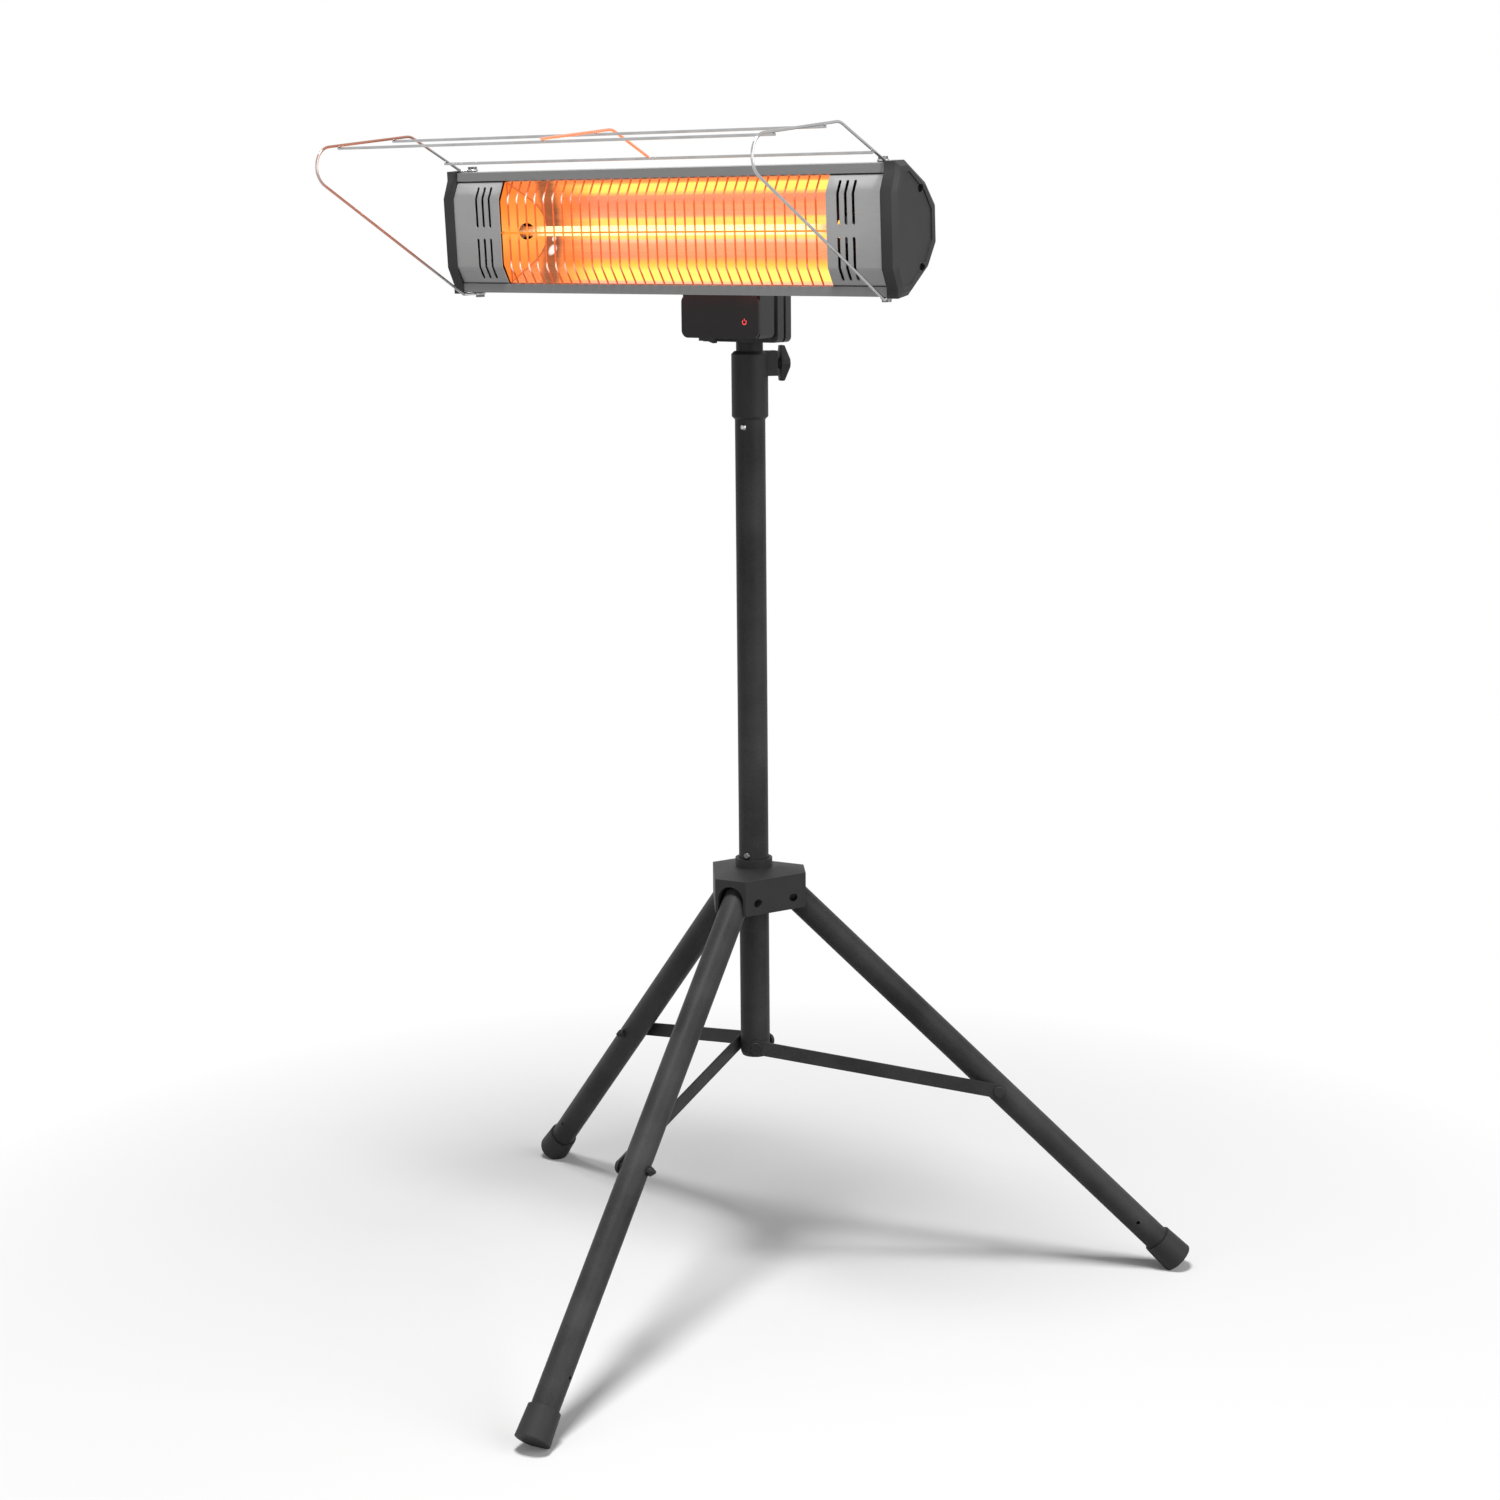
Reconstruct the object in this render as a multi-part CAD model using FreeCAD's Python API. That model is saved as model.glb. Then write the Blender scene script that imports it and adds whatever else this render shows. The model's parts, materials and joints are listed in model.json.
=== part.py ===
import FreeCAD, Part
import math
import os

# Infrared heater on a folding tripod.
# Millimetres and degrees, +Z up. The heater faces -Y and +X is at the right of someone
# who faces it. The origin is on the floor, under the axis of the mast.

# Fits and cuts
seat_gap = 0.05
pin_gap = 0.1
slide_gap = 0.4
side_gap = 0.5
overrun = 4.0

# Mast and telescoping tube
mast_diameter = 32.0
mast_wall = 1.5
mast_length = 731.0
mast_drop = 178.0
inner_wall = 1.5
bush_button_gap = 9.8
bush_flange = 12.0
bush_spigot = 30.0
plug_flange = 4.0
plug_spigot = 12.0

# Clamp sleeve and its knob
sleeve_wall = 3.2
sleeve_length = 70.5
sleeve_grip = 42.3
sleeve_chamfer = 3.0
lug_reach = 9.5
lug_width = 15.0
lug_height = 26.0
knob_azimuth = 50.0
knob_boss_diameter = 12.0
knob_boss_length = 2.6
knob_thickness = 10.0
knob_tip_thickness = 5.0
knob_crown = 8.0
knob_length = 37.0
knob_width = 21.0
knob_tip_width = 9.0
knob_screw_diameter = 6.0
stop_screw_drop = 7.5
stop_screw_head_diameter = 6.6
stop_screw_head_height = 1.6
stop_screw_diameter = 4.0

# Folding legs
front_leg_azimuth = 278.88
leg_count = 3
leg_names = ("a", "b", "c")
leg_angle = 44.9
leg_diameter = 29.0
leg_wall = 1.5
leg_length = 612.0
leg_overhang = 6.0
leg_hole_diameter = 4.0
leg_hole_from_end = 68.0
leg_bolt_at = 320.0
leg_bolt_diameter = 6.0
leg_bolt_collar_diameter = 10.0
leg_bolt_collar_height = 1.8
leg_bolt_nut_diameter = 10.0
leg_bolt_nut_height = 4.0
leg_bolt_nut_point = 5.0
foot_length = 33.0
foot_wall = 2.5
foot_flare = 1.4
foot_end_wall = 5.0
foot_flat_depth = 1.69

# Hub casting
hub_pivot_reach = 25.0
hub_skirt = 12.5
hub_shoulder_rise = 25.5
hub_roof_height = 4.7
hub_collar_height = 9.5
hub_collar_wall = 4.0
hub_lobe_reach = 14.0
hub_cheek = 3.75
hub_arch_rise = 3.3
hub_top_share = 0.5
hub_pin_diameter = 6.0
hub_pin_recess = 1.5
hub_recess_diameter = 9.0

# Lock button on the mast
button_gap = 4.2
button_diameter = 7.2
button_reach = 1.8
button_length = 6.0
button_crown_share = 0.6

# Braces
brace_width = 15.5
brace_thickness = 2.5
brace_mast_gap = 0.6
brace_pin_rise = 8.0
brace_pin_diameter = 6.0
brace_head_diameter = 13.0
brace_head_height = 2.2
brace_open_gap = 0.3

# Control box on the pole
box_width = 98.6
box_front = -51.5
box_height = 54.0
neck_length = 9.8
tube_crown = 5.0
box_depth = 27.0
box_lift = 5.0
box_wall = 2.5
box_corner = 6.0
panel_thickness = 3.0
panel_corner = 8.0
panel_drop = 5.0
light_inset = 17.8
light_rise = 17.0
light_diameter = 6.0
groove_depth = 6.5
rib_depth = 10.5
rear_groove_depth = 3.6
plate_depth = 9.5
groove_inset = 4.0
socket_wall = 4.4
box_screw_side = 9.3
box_screw_inset = 8.0
box_screw_diameter = 4.0
box_screw_head_diameter = 8.0
box_screw_head_height = 2.5
box_boss_diameter = 8.0
socket_screw_rise = 28.0
gland_inset = 15.3
gland_rise = 24.0
gland_diameter = 16.0
gland_bore = 7.5
gland_length = 9.0
board_side_gap = 14.8
board_floor_gap = 4.0
board_thickness = 1.6
board_rear_gap = 1.4
board_post_diameter = 6.0
tip_switch_width = 20.0
tip_switch_depth = 8.0
tip_switch_height = 16.0

# Rocker switch under the control box
rocker_inset = 27.55
rocker_setback = 13.5
rocker_length = 12.8
rocker_width = 7.2
rocker_pivot_rise = 1.5
rocker_rise = 2.0
rocker_drop = 6.4
rocker_waist_drop = 5.4
rocker_swing = 16.0
rocker_pin_diameter = 2.0
rocker_pin_reach = 1.1
rocker_end_gap = 1.3
bezel_wall = 0.9
bezel_rise = 5.0
bezel_flange = 3.2
bezel_flange_length = 20.5
bezel_flange_width = 14.0

# Tilt yoke between pole and heater
yoke_gap_width = 48.0
yoke_thickness = 3.0
yoke_base_front = -45.0
yoke_base_back = 18.0
yoke_foot_back = -8.0
yoke_eye_diameter = 20.0
yoke_bolt_diameter = 8.0
yoke_bolt_head_diameter = 14.0
yoke_bolt_head_height = 5.5
tilt_bolt_diameter = 6.0
tilt_bolt_head_diameter = 12.0
tilt_bolt_head_height = 4.5
ear_thickness = 4.0
ear_diameter = 18.0
ear_base_thickness = 3.0
ear_base_height = 30.0
ear_reach = 15.4
tilt_pivot_drop = 20.0

# Heater housing
head_y = -147.0
head_rise = 59.0
head_tilt = 2.9
housing_depth = 64.6
housing_height = 122.5
housing_wall = 1.5
top_flange = 8.8
bottom_flange = 9.3
bevel_height = 17.8
front_bulge = 7.4
rear_depth_shares = (0.232, 0.754, 1.0, 1.0, 0.783, 0.255)
rear_height_shares = (0.505, 0.330, 0.158, -0.115, -0.289, -0.483)
screw_boss_diameter = 9.0
screw_boss_length = 20.0
screw_boss_back_share = 0.588
screw_boss_rise_share = 0.298
web_thickness = 4.0
cap_thickness = 15.5
cap_band = 12.5
cap_lip = 1.5
cap_wall = 2.5
cap_face_inset = 3.5
cap_dish_inset = 9.0
cap_dish_depth = 1.2
cap_hollow_depth = 7.0
cap_screw_diameter = 3.8
cap_screw_head_diameter = 7.0
cap_screw_head_height = 2.0
cap_recess_depth = 4.5

# Vent panels and front grille
opening_length = 408.0
panel_length = 62.0
panel_sheet = 1.2
panel_tuck = 4.0
slot_width = 3.2
slot_pitch = 8.7
slot_count = 3
slot_margin = 13.6
slot_inner = 5.6
slot_edge = 5.55
wire_diameter = 1.8
wire_count = 33
wire_bend = 6.0
wire_tuck = 3.0
cross_wire_overhang = 3.0

# Reflector and lamp
reflector_sheet = 0.8
reflector_setback = 6.0
reflector_edge_gap = 0.95
reflector_knee_back = 33.0
reflector_knee_width = 62.0
reflector_rear_gap = 16.6
reflector_lip = 5.0
end_plate_lean = 21.0
lamp_back = 25.0
lamp_diameter = 10.0
lamp_wall = 1.0
lamp_overhang = 6.0
lamp_hole_diameter = 17.0
filament_diameter = 4.4
filament_inset = 18.0
ceramic_diameter = 14.0
ceramic_length = 26.0
ceramic_grip = 8.0
holder_sheet = 2.0
holder_height = 26.0
holder_foot = 14.0
cutout_diameter = 16.0
cutout_height = 8.0
cutout_x = 120.0
terminal_width = 18.0
terminal_depth = 14.0
terminal_height = 28.0
terminal_gap = 8.0

# Wire guard
guard_wire = 2.8
guard_inset = 2.0
guard_foot_back = 4.0
guard_bend_forward = 68.0
guard_bend_height = 100.5
guard_front_forward = 247.0
guard_front_height = 90.5
guard_low_forward = 3.0
guard_bend_radius = 20.0
guard_nose_radius = 20.0
guard_foot_radius = 3.0
eyelet_radius = 4.6
eyelet_reach = 8.0
eyelet_angle = 40.0
long_wire_forwards = (16.2, 92.2, 170.3)
rib_end = 2.0
guard_screw_diameter = 4.0
guard_screw_head_diameter = 9.4
guard_screw_head_height = 2.2
guard_screw_length = 7.0

# Sizes that follow from those above
mast_radius = mast_diameter / 2
mast_bore = mast_radius - mast_wall
inner_radius = mast_bore - slide_gap
inner_bore = inner_radius - inner_wall
sleeve_radius = mast_radius + sleeve_wall
sleeve_diameter = 2 * sleeve_radius
leg_radius = leg_diameter / 2
foot_neck_diameter = leg_diameter + 2 * foot_wall
foot_end_diameter = foot_neck_diameter + 2 * foot_flare
hub_pivot_radius = mast_radius + hub_pivot_reach
hub_pivot_height = (leg_length * math.cos(math.radians(leg_angle)) - foot_flat_depth
                    + foot_end_diameter / 2 * math.sin(math.radians(leg_angle)))
hub_bottom = hub_pivot_height - hub_skirt
hub_shoulder = hub_pivot_height + hub_shoulder_rise
hub_top = hub_shoulder + hub_roof_height
hub_collar_top = hub_top + hub_collar_height
hub_collar_diameter = mast_diameter + 2 * hub_collar_wall
hub_reach = hub_pivot_radius + hub_lobe_reach
hub_lobe_width = leg_diameter + 2 * hub_cheek
button_height = hub_collar_top + button_gap
mast_bottom = hub_pivot_height - mast_drop
mast_top = mast_bottom + mast_length
brace_pin_height = mast_bottom + brace_pin_rise
sleeve_bottom = mast_top - sleeve_grip
sleeve_top = sleeve_bottom + sleeve_length
stop_screw_height = sleeve_bottom - stop_screw_drop
box_bottom = sleeve_top + neck_length
box_top = box_bottom + box_height
box_floor = box_bottom + box_lift
inner_top = box_top - tube_crown
inner_bottom = button_height + button_diameter / 2 + bush_button_gap + bush_flange + side_gap
brace_inner = max(mast_radius + brace_mast_gap, leg_radius + leg_bolt_collar_height + brace_open_gap)
brace_outer = brace_inner + brace_thickness
box_body_front = box_front + panel_thickness
box_back = box_front + box_depth
rib_front = box_back + groove_depth
rib_back = rib_front + rib_depth
plate_front = rib_back + rear_groove_depth
plate_back = plate_front + plate_depth
socket_radius = inner_radius + socket_wall
socket_diameter = 2 * socket_radius
socket_screw_height = box_bottom + socket_screw_rise
box_screw_x = box_width / 2 - box_screw_side
light_x = box_width / 2 - light_inset
light_height = box_floor + light_rise
gland_x = gland_inset - box_width / 2
gland_height = box_bottom + gland_rise
board_width = box_width - 2 * box_wall - 2 * board_side_gap
board_height = box_height - box_lift - 2 * box_wall - board_floor_gap
board_setback = box_depth - board_rear_gap - tip_switch_depth - board_thickness
rocker_x = rocker_inset - box_width / 2
rocker_y = box_front + rocker_setback
arm_inner = yoke_gap_width / 2
arm_outer = arm_inner + yoke_thickness
head_height = box_top + head_rise
tilt_pivot_back = housing_depth + ear_reach
housing_length = opening_length + 2 * panel_length
housing_half = housing_length / 2
half_height = housing_height / 2
opening_half = opening_length / 2
wire_pitch = opening_length / (wire_count + 1)
opening_top = half_height - top_flange
opening_bottom = half_height - bottom_flange
flat_top = opening_top - bevel_height
flat_bottom = opening_bottom - bevel_height
slot_outer = opening_bottom - slot_edge
reflector_mouth = 2 * (opening_bottom - reflector_edge_gap)
reflector_back = housing_depth - reflector_rear_gap
screw_boss_back = housing_depth * screw_boss_back_share
screw_boss_rise = housing_height * screw_boss_rise_share
lamp_half = opening_half + lamp_overhang
filament_half = lamp_half - filament_inset
holder_x = lamp_half - ceramic_grip + ceramic_length / 2
terminal_x = -holder_x - holder_foot - terminal_gap - terminal_width / 2
guard_half_width = housing_half - guard_inset
wire_radius = wire_diameter / 2
guard_radius = guard_wire / 2
right = FreeCAD.Vector(1, 0, 0)
back = FreeCAD.Vector(0, 1, 0)
up = FreeCAD.Vector(0, 0, 1)


def point(x, y, z):
    return FreeCAD.Vector(x, y, z)


def head_point(x, forward, z):
    """A point in the heater's own frame: forward is out of its front flange."""
    return FreeCAD.Vector(x, -forward, z)


def save(name, *solids):
    shape = solids[0] if len(solids) == 1 else Part.makeCompound(list(solids))
    shape.exportStep("parts/" + name + ".step")
    print(name, "solids", len(shape.Solids), "valid", shape.isValid())


def save_head(name, *solids):
    """Tilt heater solids to the pose that they rest in, and save them."""
    placed = []
    for solid in solids:
        copy = solid.copy()
        copy.rotate(point(0, 0, 0), right, head_tilt)
        copy.translate(point(0, head_y, head_height))
        placed.append(copy)
    save(name, *placed)


def turned(shape, azimuth):
    """A copy turned about the mast from the +X side to an azimuth."""
    copy = shape.copy()
    copy.rotate(point(0, 0, 0), up, azimuth)
    return copy


def rod(start, end, radius):
    axis = end - start
    return Part.makeCylinder(radius, axis.Length, start, axis)


def pipe(start, end, outer, bore):
    reach = (end - start).normalize() * overrun
    return rod(start, end, outer).cut(rod(start - reach, end + reach, bore))


def block(low, high):
    size = high - low
    return Part.makeBox(size.x, size.y, size.z, low)


def outline(points):
    return Part.makePolygon(list(points) + [points[0]])


def prism(points, along):
    return Part.Face(outline(points)).extrude(along)


def rounded_block(low, high, radius):
    """A block whose four edges along Y are rounded."""
    solid = block(low, high)
    edges = [e for e in solid.Edges if abs(e.tangentAt(e.FirstParameter).y) > abs(
        e.tangentAt(e.FirstParameter).x) + abs(e.tangentAt(e.FirstParameter).z)]
    return solid.makeFillet(radius, edges)


def joined(first, *others):
    return first.fuse(list(others)).removeSplitter()


def bent_wire(points, bends, radius):
    """A round wire along straight runs, with an arc of the given radius at each corner."""
    edges = []
    start = points[0]
    for corner, after, bend in zip(points[1:-1], points[2:], bends):
        to_start = (start - corner).normalize()
        to_after = (after - corner).normalize()
        half = to_start.getAngle(to_after) / 2
        reach = bend / math.tan(half)
        middle = (to_start + to_after).normalize() * (bend / math.sin(half) - bend)
        arc_start = corner + to_start * reach
        arc_end = corner + to_after * reach
        edges.append(Part.makeLine(start, arc_start))
        edges.append(Part.Arc(arc_start, corner + middle, arc_end).toShape())
        start = arc_end
    edges.append(Part.makeLine(start, points[-1]))
    path = Part.Wire(edges)
    section = Part.Wire(Part.makeCircle(radius, points[0], points[1] - points[0]))
    return path.makePipeShell([section], True, False)


# Mast, inner tube and clamp

def mast_tube():
    shell = pipe(point(0, 0, mast_bottom), point(0, 0, mast_top), mast_radius, mast_bore)
    for index in range(leg_count):
        pin = rod(point(0, 0, brace_pin_height), point(0, -mast_diameter, brace_pin_height),
                  brace_pin_diameter / 2 + seat_gap)
        shell = shell.cut(turned(pin, leg_azimuth(index)))
    for height, radius in ((button_height, button_diameter / 2 + pin_gap),
                           (stop_screw_height, stop_screw_diameter / 2 + seat_gap)):
        hole = rod(point(0, 0, height), point(mast_diameter, 0, height), radius)
        shell = shell.cut(turned(hole, front_leg_azimuth))
    return shell


def mast_plug():
    flange = Part.makeCone(mast_bore, mast_radius, plug_flange, point(0, 0, mast_bottom - plug_flange))
    spigot = rod(point(0, 0, mast_bottom), point(0, 0, mast_bottom + plug_spigot), mast_bore - seat_gap)
    for index in range(leg_count):
        pin = rod(point(0, -inner_bore, brace_pin_height), point(0, -mast_diameter, brace_pin_height),
                  brace_pin_diameter / 2 + seat_gap)
        spigot = spigot.cut(turned(pin, leg_azimuth(index)))
    return joined(flange, spigot)


def clamp_sleeve():
    body = rod(point(0, 0, sleeve_bottom), point(0, 0, sleeve_top), sleeve_radius)
    body = body.makeChamfer(sleeve_chamfer, [body.Edges[0], body.Edges[2]])
    lug = block(point(0, -lug_width / 2, sleeve_top - lug_height),
                point(sleeve_radius + lug_reach, lug_width / 2, sleeve_top))
    body = joined(body, turned(lug, knob_azimuth))
    body = body.cut(rod(point(0, 0, sleeve_bottom - overrun), point(0, 0, mast_top),
                        mast_radius + seat_gap))
    body = body.cut(rod(point(0, 0, sleeve_bottom), point(0, 0, sleeve_top + overrun),
                        inner_radius + slide_gap))
    hole = rod(point(0, 0, knob_height()), point(sleeve_diameter, 0, knob_height()),
               knob_screw_diameter / 2 + pin_gap)
    return body.cut(turned(hole, knob_azimuth))


def knob_height():
    return sleeve_top - lug_height / 2


def clamp_knob():
    """Wing knob with its clamp screw, along +X before it is turned to its azimuth."""
    height = knob_height()
    face = sleeve_radius + lug_reach + side_gap
    wing = face + knob_boss_length
    half_length = knob_length / 2
    corners = [(-knob_tip_width / 2, half_length), (knob_tip_width / 2, half_length),
               (knob_width / 2, 0), (knob_tip_width / 2, -half_length),
               (-knob_tip_width / 2, -half_length), (-knob_width / 2, 0)]
    plate = prism([point(wing, y, height + z) for y, z in corners], right * knob_thickness)
    sides = [(0, half_length), (knob_tip_thickness, half_length), (knob_thickness, knob_crown / 2),
             (knob_thickness, -knob_crown / 2), (knob_tip_thickness, -half_length), (0, -half_length)]
    plate = plate.common(prism([point(wing + x, -knob_width / 2, height + z) for x, z in sides],
                               back * knob_width))
    boss = rod(point(face, 0, height), point(wing, 0, height), knob_boss_diameter / 2)
    screw = rod(point(inner_radius + slide_gap, 0, height), point(face, 0, height),
                knob_screw_diameter / 2)
    return turned(joined(plate, boss, screw), knob_azimuth)


def stop_screw():
    head = Part.makeCone(stop_screw_head_diameter / 2, stop_screw_diameter / 2, stop_screw_head_height,
                         point(mast_radius, 0, stop_screw_height), right)
    shank = rod(point(mast_bore, 0, stop_screw_height), point(mast_radius, 0, stop_screw_height),
                stop_screw_diameter / 2)
    return turned(joined(head, shank), front_leg_azimuth)


def inner_tube():
    shell = pipe(point(0, 0, inner_bottom), point(0, 0, inner_top), inner_radius, inner_bore)
    hole = rod(point(0, 0, socket_screw_height), point(0, mast_diameter, socket_screw_height),
               box_screw_diameter / 2 + seat_gap)
    return shell.cut(hole)


def guide_bush():
    top = inner_bottom - side_gap
    flange = rod(point(0, 0, top - bush_flange), point(0, 0, top), inner_radius)
    spigot = rod(point(0, 0, top), point(0, 0, inner_bottom + bush_spigot), inner_bore - slide_gap)
    return joined(flange, spigot)


def tube_plug():
    body = rod(point(0, 0, inner_top - bush_spigot), point(0, 0, inner_top), inner_bore - seat_gap)
    crown = rod(point(0, 0, inner_top), point(0, 0, box_top), inner_radius)
    bore = rod(point(0, 0, inner_top - bush_spigot), point(0, 0, box_top + overrun),
               yoke_bolt_diameter / 2 + seat_gap)
    return joined(body, crown).cut(bore)


# Hub, legs and braces

def leg_azimuth(index):
    return front_leg_azimuth + 360 * index / leg_count


def leg_point(distance, side=0):
    """A point on a leg's axis, in the plane of +X, at a distance from its pivot."""
    lean = math.radians(leg_angle)
    return point(hub_pivot_radius + distance * math.sin(lean), side,
                 hub_pivot_height - distance * math.cos(lean))


def hub_outline(share, height):
    """Three narrow lobe faces joined by wide flat sides."""
    corners = []
    for index in range(leg_count):
        for side in (-1, 1):
            corner = point(hub_reach, side * hub_lobe_width / 2, 0) * share
            corner.z = height
            corners.append(turned(Part.Vertex(corner), leg_azimuth(index)).Point)
    return outline(corners)


def hub():
    body = Part.Face(hub_outline(1, hub_bottom)).extrude(up * (hub_shoulder - hub_bottom))
    roof = Part.makeLoft([hub_outline(1, hub_shoulder), hub_outline(hub_top_share, hub_top)], True, True)
    collar = rod(point(0, 0, hub_shoulder), point(0, 0, hub_collar_top), hub_collar_diameter / 2)
    body = joined(body, roof, collar)
    body = body.cut(rod(point(0, 0, hub_bottom - overrun), point(0, 0, hub_collar_top + overrun),
                        mast_radius + slide_gap))
    key = block(point(0, -button_diameter / 2 - slide_gap, hub_bottom - overrun),
                point(mast_radius + button_reach + slide_gap, button_diameter / 2 + slide_gap,
                      hub_collar_top + overrun))
    body = body.cut(turned(key, front_leg_azimuth))
    for index in range(leg_count):
        for cutter in hub_slot():
            body = body.cut(turned(cutter, leg_azimuth(index)))
    return body


def hub_slot():
    """What one lobe is cut by: the arched slot of its leg and the bore of its pin."""
    half = leg_radius + slide_gap
    arch = math.hypot(leg_overhang, leg_radius) + slide_gap
    pivot = point(hub_pivot_radius, 0, hub_pivot_height)
    rise = hub_pivot_height + hub_arch_rise
    inner = hub_pivot_radius - arch
    outer = hub_reach + overrun
    return (rod(point(inner, 0, rise), point(outer, 0, rise), half),
            block(point(inner, -half, hub_bottom - overrun), point(outer, half, rise)),
            rod(pivot - back * hub_reach, pivot + back * hub_reach, hub_pin_diameter / 2 + seat_gap),
            rod(pivot + back * pin_half(), pivot + back * hub_reach, hub_recess_diameter / 2),
            rod(pivot - back * hub_reach, pivot - back * pin_half(), hub_recess_diameter / 2))


def pin_half():
    return hub_lobe_width / 2 - hub_pin_recess


def hub_pins():
    pivot = point(hub_pivot_radius, 0, hub_pivot_height)
    pin = rod(pivot - back * pin_half(), pivot + back * pin_half(), hub_pin_diameter / 2)
    return [turned(pin, leg_azimuth(index)) for index in range(leg_count)]


def lock_button():
    inner = point(mast_radius - button_length, 0, button_height)
    crown = button_reach * button_crown_share
    rim = point(mast_radius + button_reach - crown, 0, button_height)
    stem = rod(inner, rim, button_diameter / 2)
    dome = Part.makeCone(button_diameter / 2, button_diameter / 2 - crown, crown, rim, right)
    return turned(joined(stem, dome), front_leg_azimuth)


def leg():
    shell = pipe(leg_point(-leg_overhang), leg_point(leg_length - foot_end_wall),
                 leg_radius, leg_radius - leg_wall)
    for distance, radius in ((0, hub_pin_diameter / 2 + pin_gap),
                             (leg_bolt_at, leg_bolt_diameter / 2 + seat_gap),
                             (leg_length - leg_hole_from_end, leg_hole_diameter / 2)):
        shell = shell.cut(rod(leg_point(distance, -leg_diameter), leg_point(distance, leg_diameter),
                              radius))
    return shell


def foot():
    """Tapered cap on the end of a leg, cut flat where it stands on the floor."""
    top = leg_point(leg_length - foot_length)
    axis = leg_point(leg_length) - top
    body = Part.makeCone(foot_neck_diameter / 2, foot_end_diameter / 2, foot_length, top, axis)
    bore = rod(leg_point(leg_length - foot_length - overrun), leg_point(leg_length - foot_end_wall),
               leg_radius + seat_gap)
    floor = block(point(0, -foot_length, -foot_length), point(leg_length, foot_length, 0))
    return body.cut(bore).cut(floor)


def leg_bolt():
    """Bolt across a leg: collar on the brace's side, pointed nut on the other."""
    end = leg_point(leg_bolt_at, -(brace_inner - brace_open_gap))
    collar = rod(leg_point(leg_bolt_at, -leg_radius), end, leg_bolt_collar_diameter / 2)
    shank = rod(end, leg_point(leg_bolt_at, leg_radius + leg_bolt_nut_height), leg_bolt_diameter / 2)
    nut = rod(leg_point(leg_bolt_at, leg_radius),
              leg_point(leg_bolt_at, leg_radius + leg_bolt_nut_height),
              leg_bolt_nut_diameter / 2)
    tip = Part.makeCone(leg_bolt_nut_diameter / 2, leg_bolt_diameter / 4, leg_bolt_nut_point,
                        leg_point(leg_bolt_at, leg_radius + leg_bolt_nut_height), back)
    return joined(collar, shank, nut, tip)


def brace():
    """Flat bar from the mast's pin to the leg's bolt, beside both, with a rivet in its outer end."""
    inner = point(0, -brace_outer, brace_pin_height)
    outer = leg_point(leg_bolt_at, -brace_outer)
    along = (outer - inner).normalize()
    across = along.cross(back) * (brace_width / 2)
    bar = prism([inner + across, outer + across, outer - across, inner - across], back * brace_thickness)
    ends = [rod(end, end + back * brace_thickness, brace_width / 2) for end in (inner, outer)]
    body = joined(bar, *ends)
    hole = rod(inner - back * overrun, inner + back * (brace_thickness + overrun),
               brace_pin_diameter / 2 + pin_gap)
    return joined(body.cut(hole), brace_pin(leg_point(leg_bolt_at), brace_inner, 0))


def brace_pin(place, shank_end, head_gap):
    """Round-headed pin through a brace, with its head on the outer side."""
    face = place - back * (brace_outer + head_gap)
    head = rod(face - back * brace_head_height, face, brace_head_diameter / 2)
    edges = [e for e in head.Edges if e.BoundBox.YLength < brace_open_gap and
             e.BoundBox.Center.y < face.y - brace_head_height / 2]
    head = head.makeChamfer(brace_head_height / 2, edges)
    shank = rod(face, place - back * shank_end, brace_pin_diameter / 2)
    return joined(head, shank)


# Control box, pole socket and yoke

def box_corner_places():
    return [(x, z) for x in (-box_screw_x, box_screw_x)
            for z in (box_floor + box_screw_inset, box_top - box_screw_inset)]


def control_box():
    half = box_width / 2
    shell = rounded_block(point(-half, box_body_front, box_floor), point(half, box_back, box_top),
                          box_corner)
    inner = half - box_wall
    hollow = rounded_block(point(-inner, box_body_front + box_wall, box_floor + box_wall),
                           point(inner, box_back + overrun, box_top - box_wall), box_corner - box_wall)
    shell = shell.cut(hollow)
    for x, z in box_corner_places():
        shell = joined(shell, rod(point(x, box_body_front + box_wall, z), point(x, box_back, z),
                                  box_boss_diameter / 2))
        shell = shell.cut(rod(point(x, box_body_front + box_wall + overrun, z),
                              point(x, box_back + overrun, z), box_screw_diameter / 2 + seat_gap))
    for side in (-1, 1):
        place = point(side * board_width / 3, box_body_front + box_wall, box_middle())
        shell = joined(shell, rod(place, point(place.x, board_front(), place.z),
                                  board_post_diameter / 2))
    shell = shell.cut(light_rod(seat_gap))
    return shell.cut(bezel_body(seat_gap, overrun))


def box_middle():
    return box_top - box_wall - board_height / 2


def board_front():
    return box_front + board_setback


def light_rod(gap):
    return rod(point(light_x, box_front, light_height), point(light_x, board_front(), light_height),
               light_diameter / 2 + gap)


def front_panel():
    half = box_width / 2
    plate = rounded_block(point(-half, box_front, box_floor),
                          point(half, box_body_front, box_top - panel_drop), panel_corner)
    return plate.cut(light_rod(seat_gap))


def circuit_board():
    front = board_front()
    middle = box_middle()
    return block(point(-board_width / 2, front, middle - board_height / 2),
                 point(board_width / 2, front + board_thickness, middle + board_height / 2))


def tip_switch():
    front = board_front() + board_thickness
    return block(point(-tip_switch_width / 2, front, light_height),
                 point(tip_switch_width / 2, front + tip_switch_depth, light_height + tip_switch_height))


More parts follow.
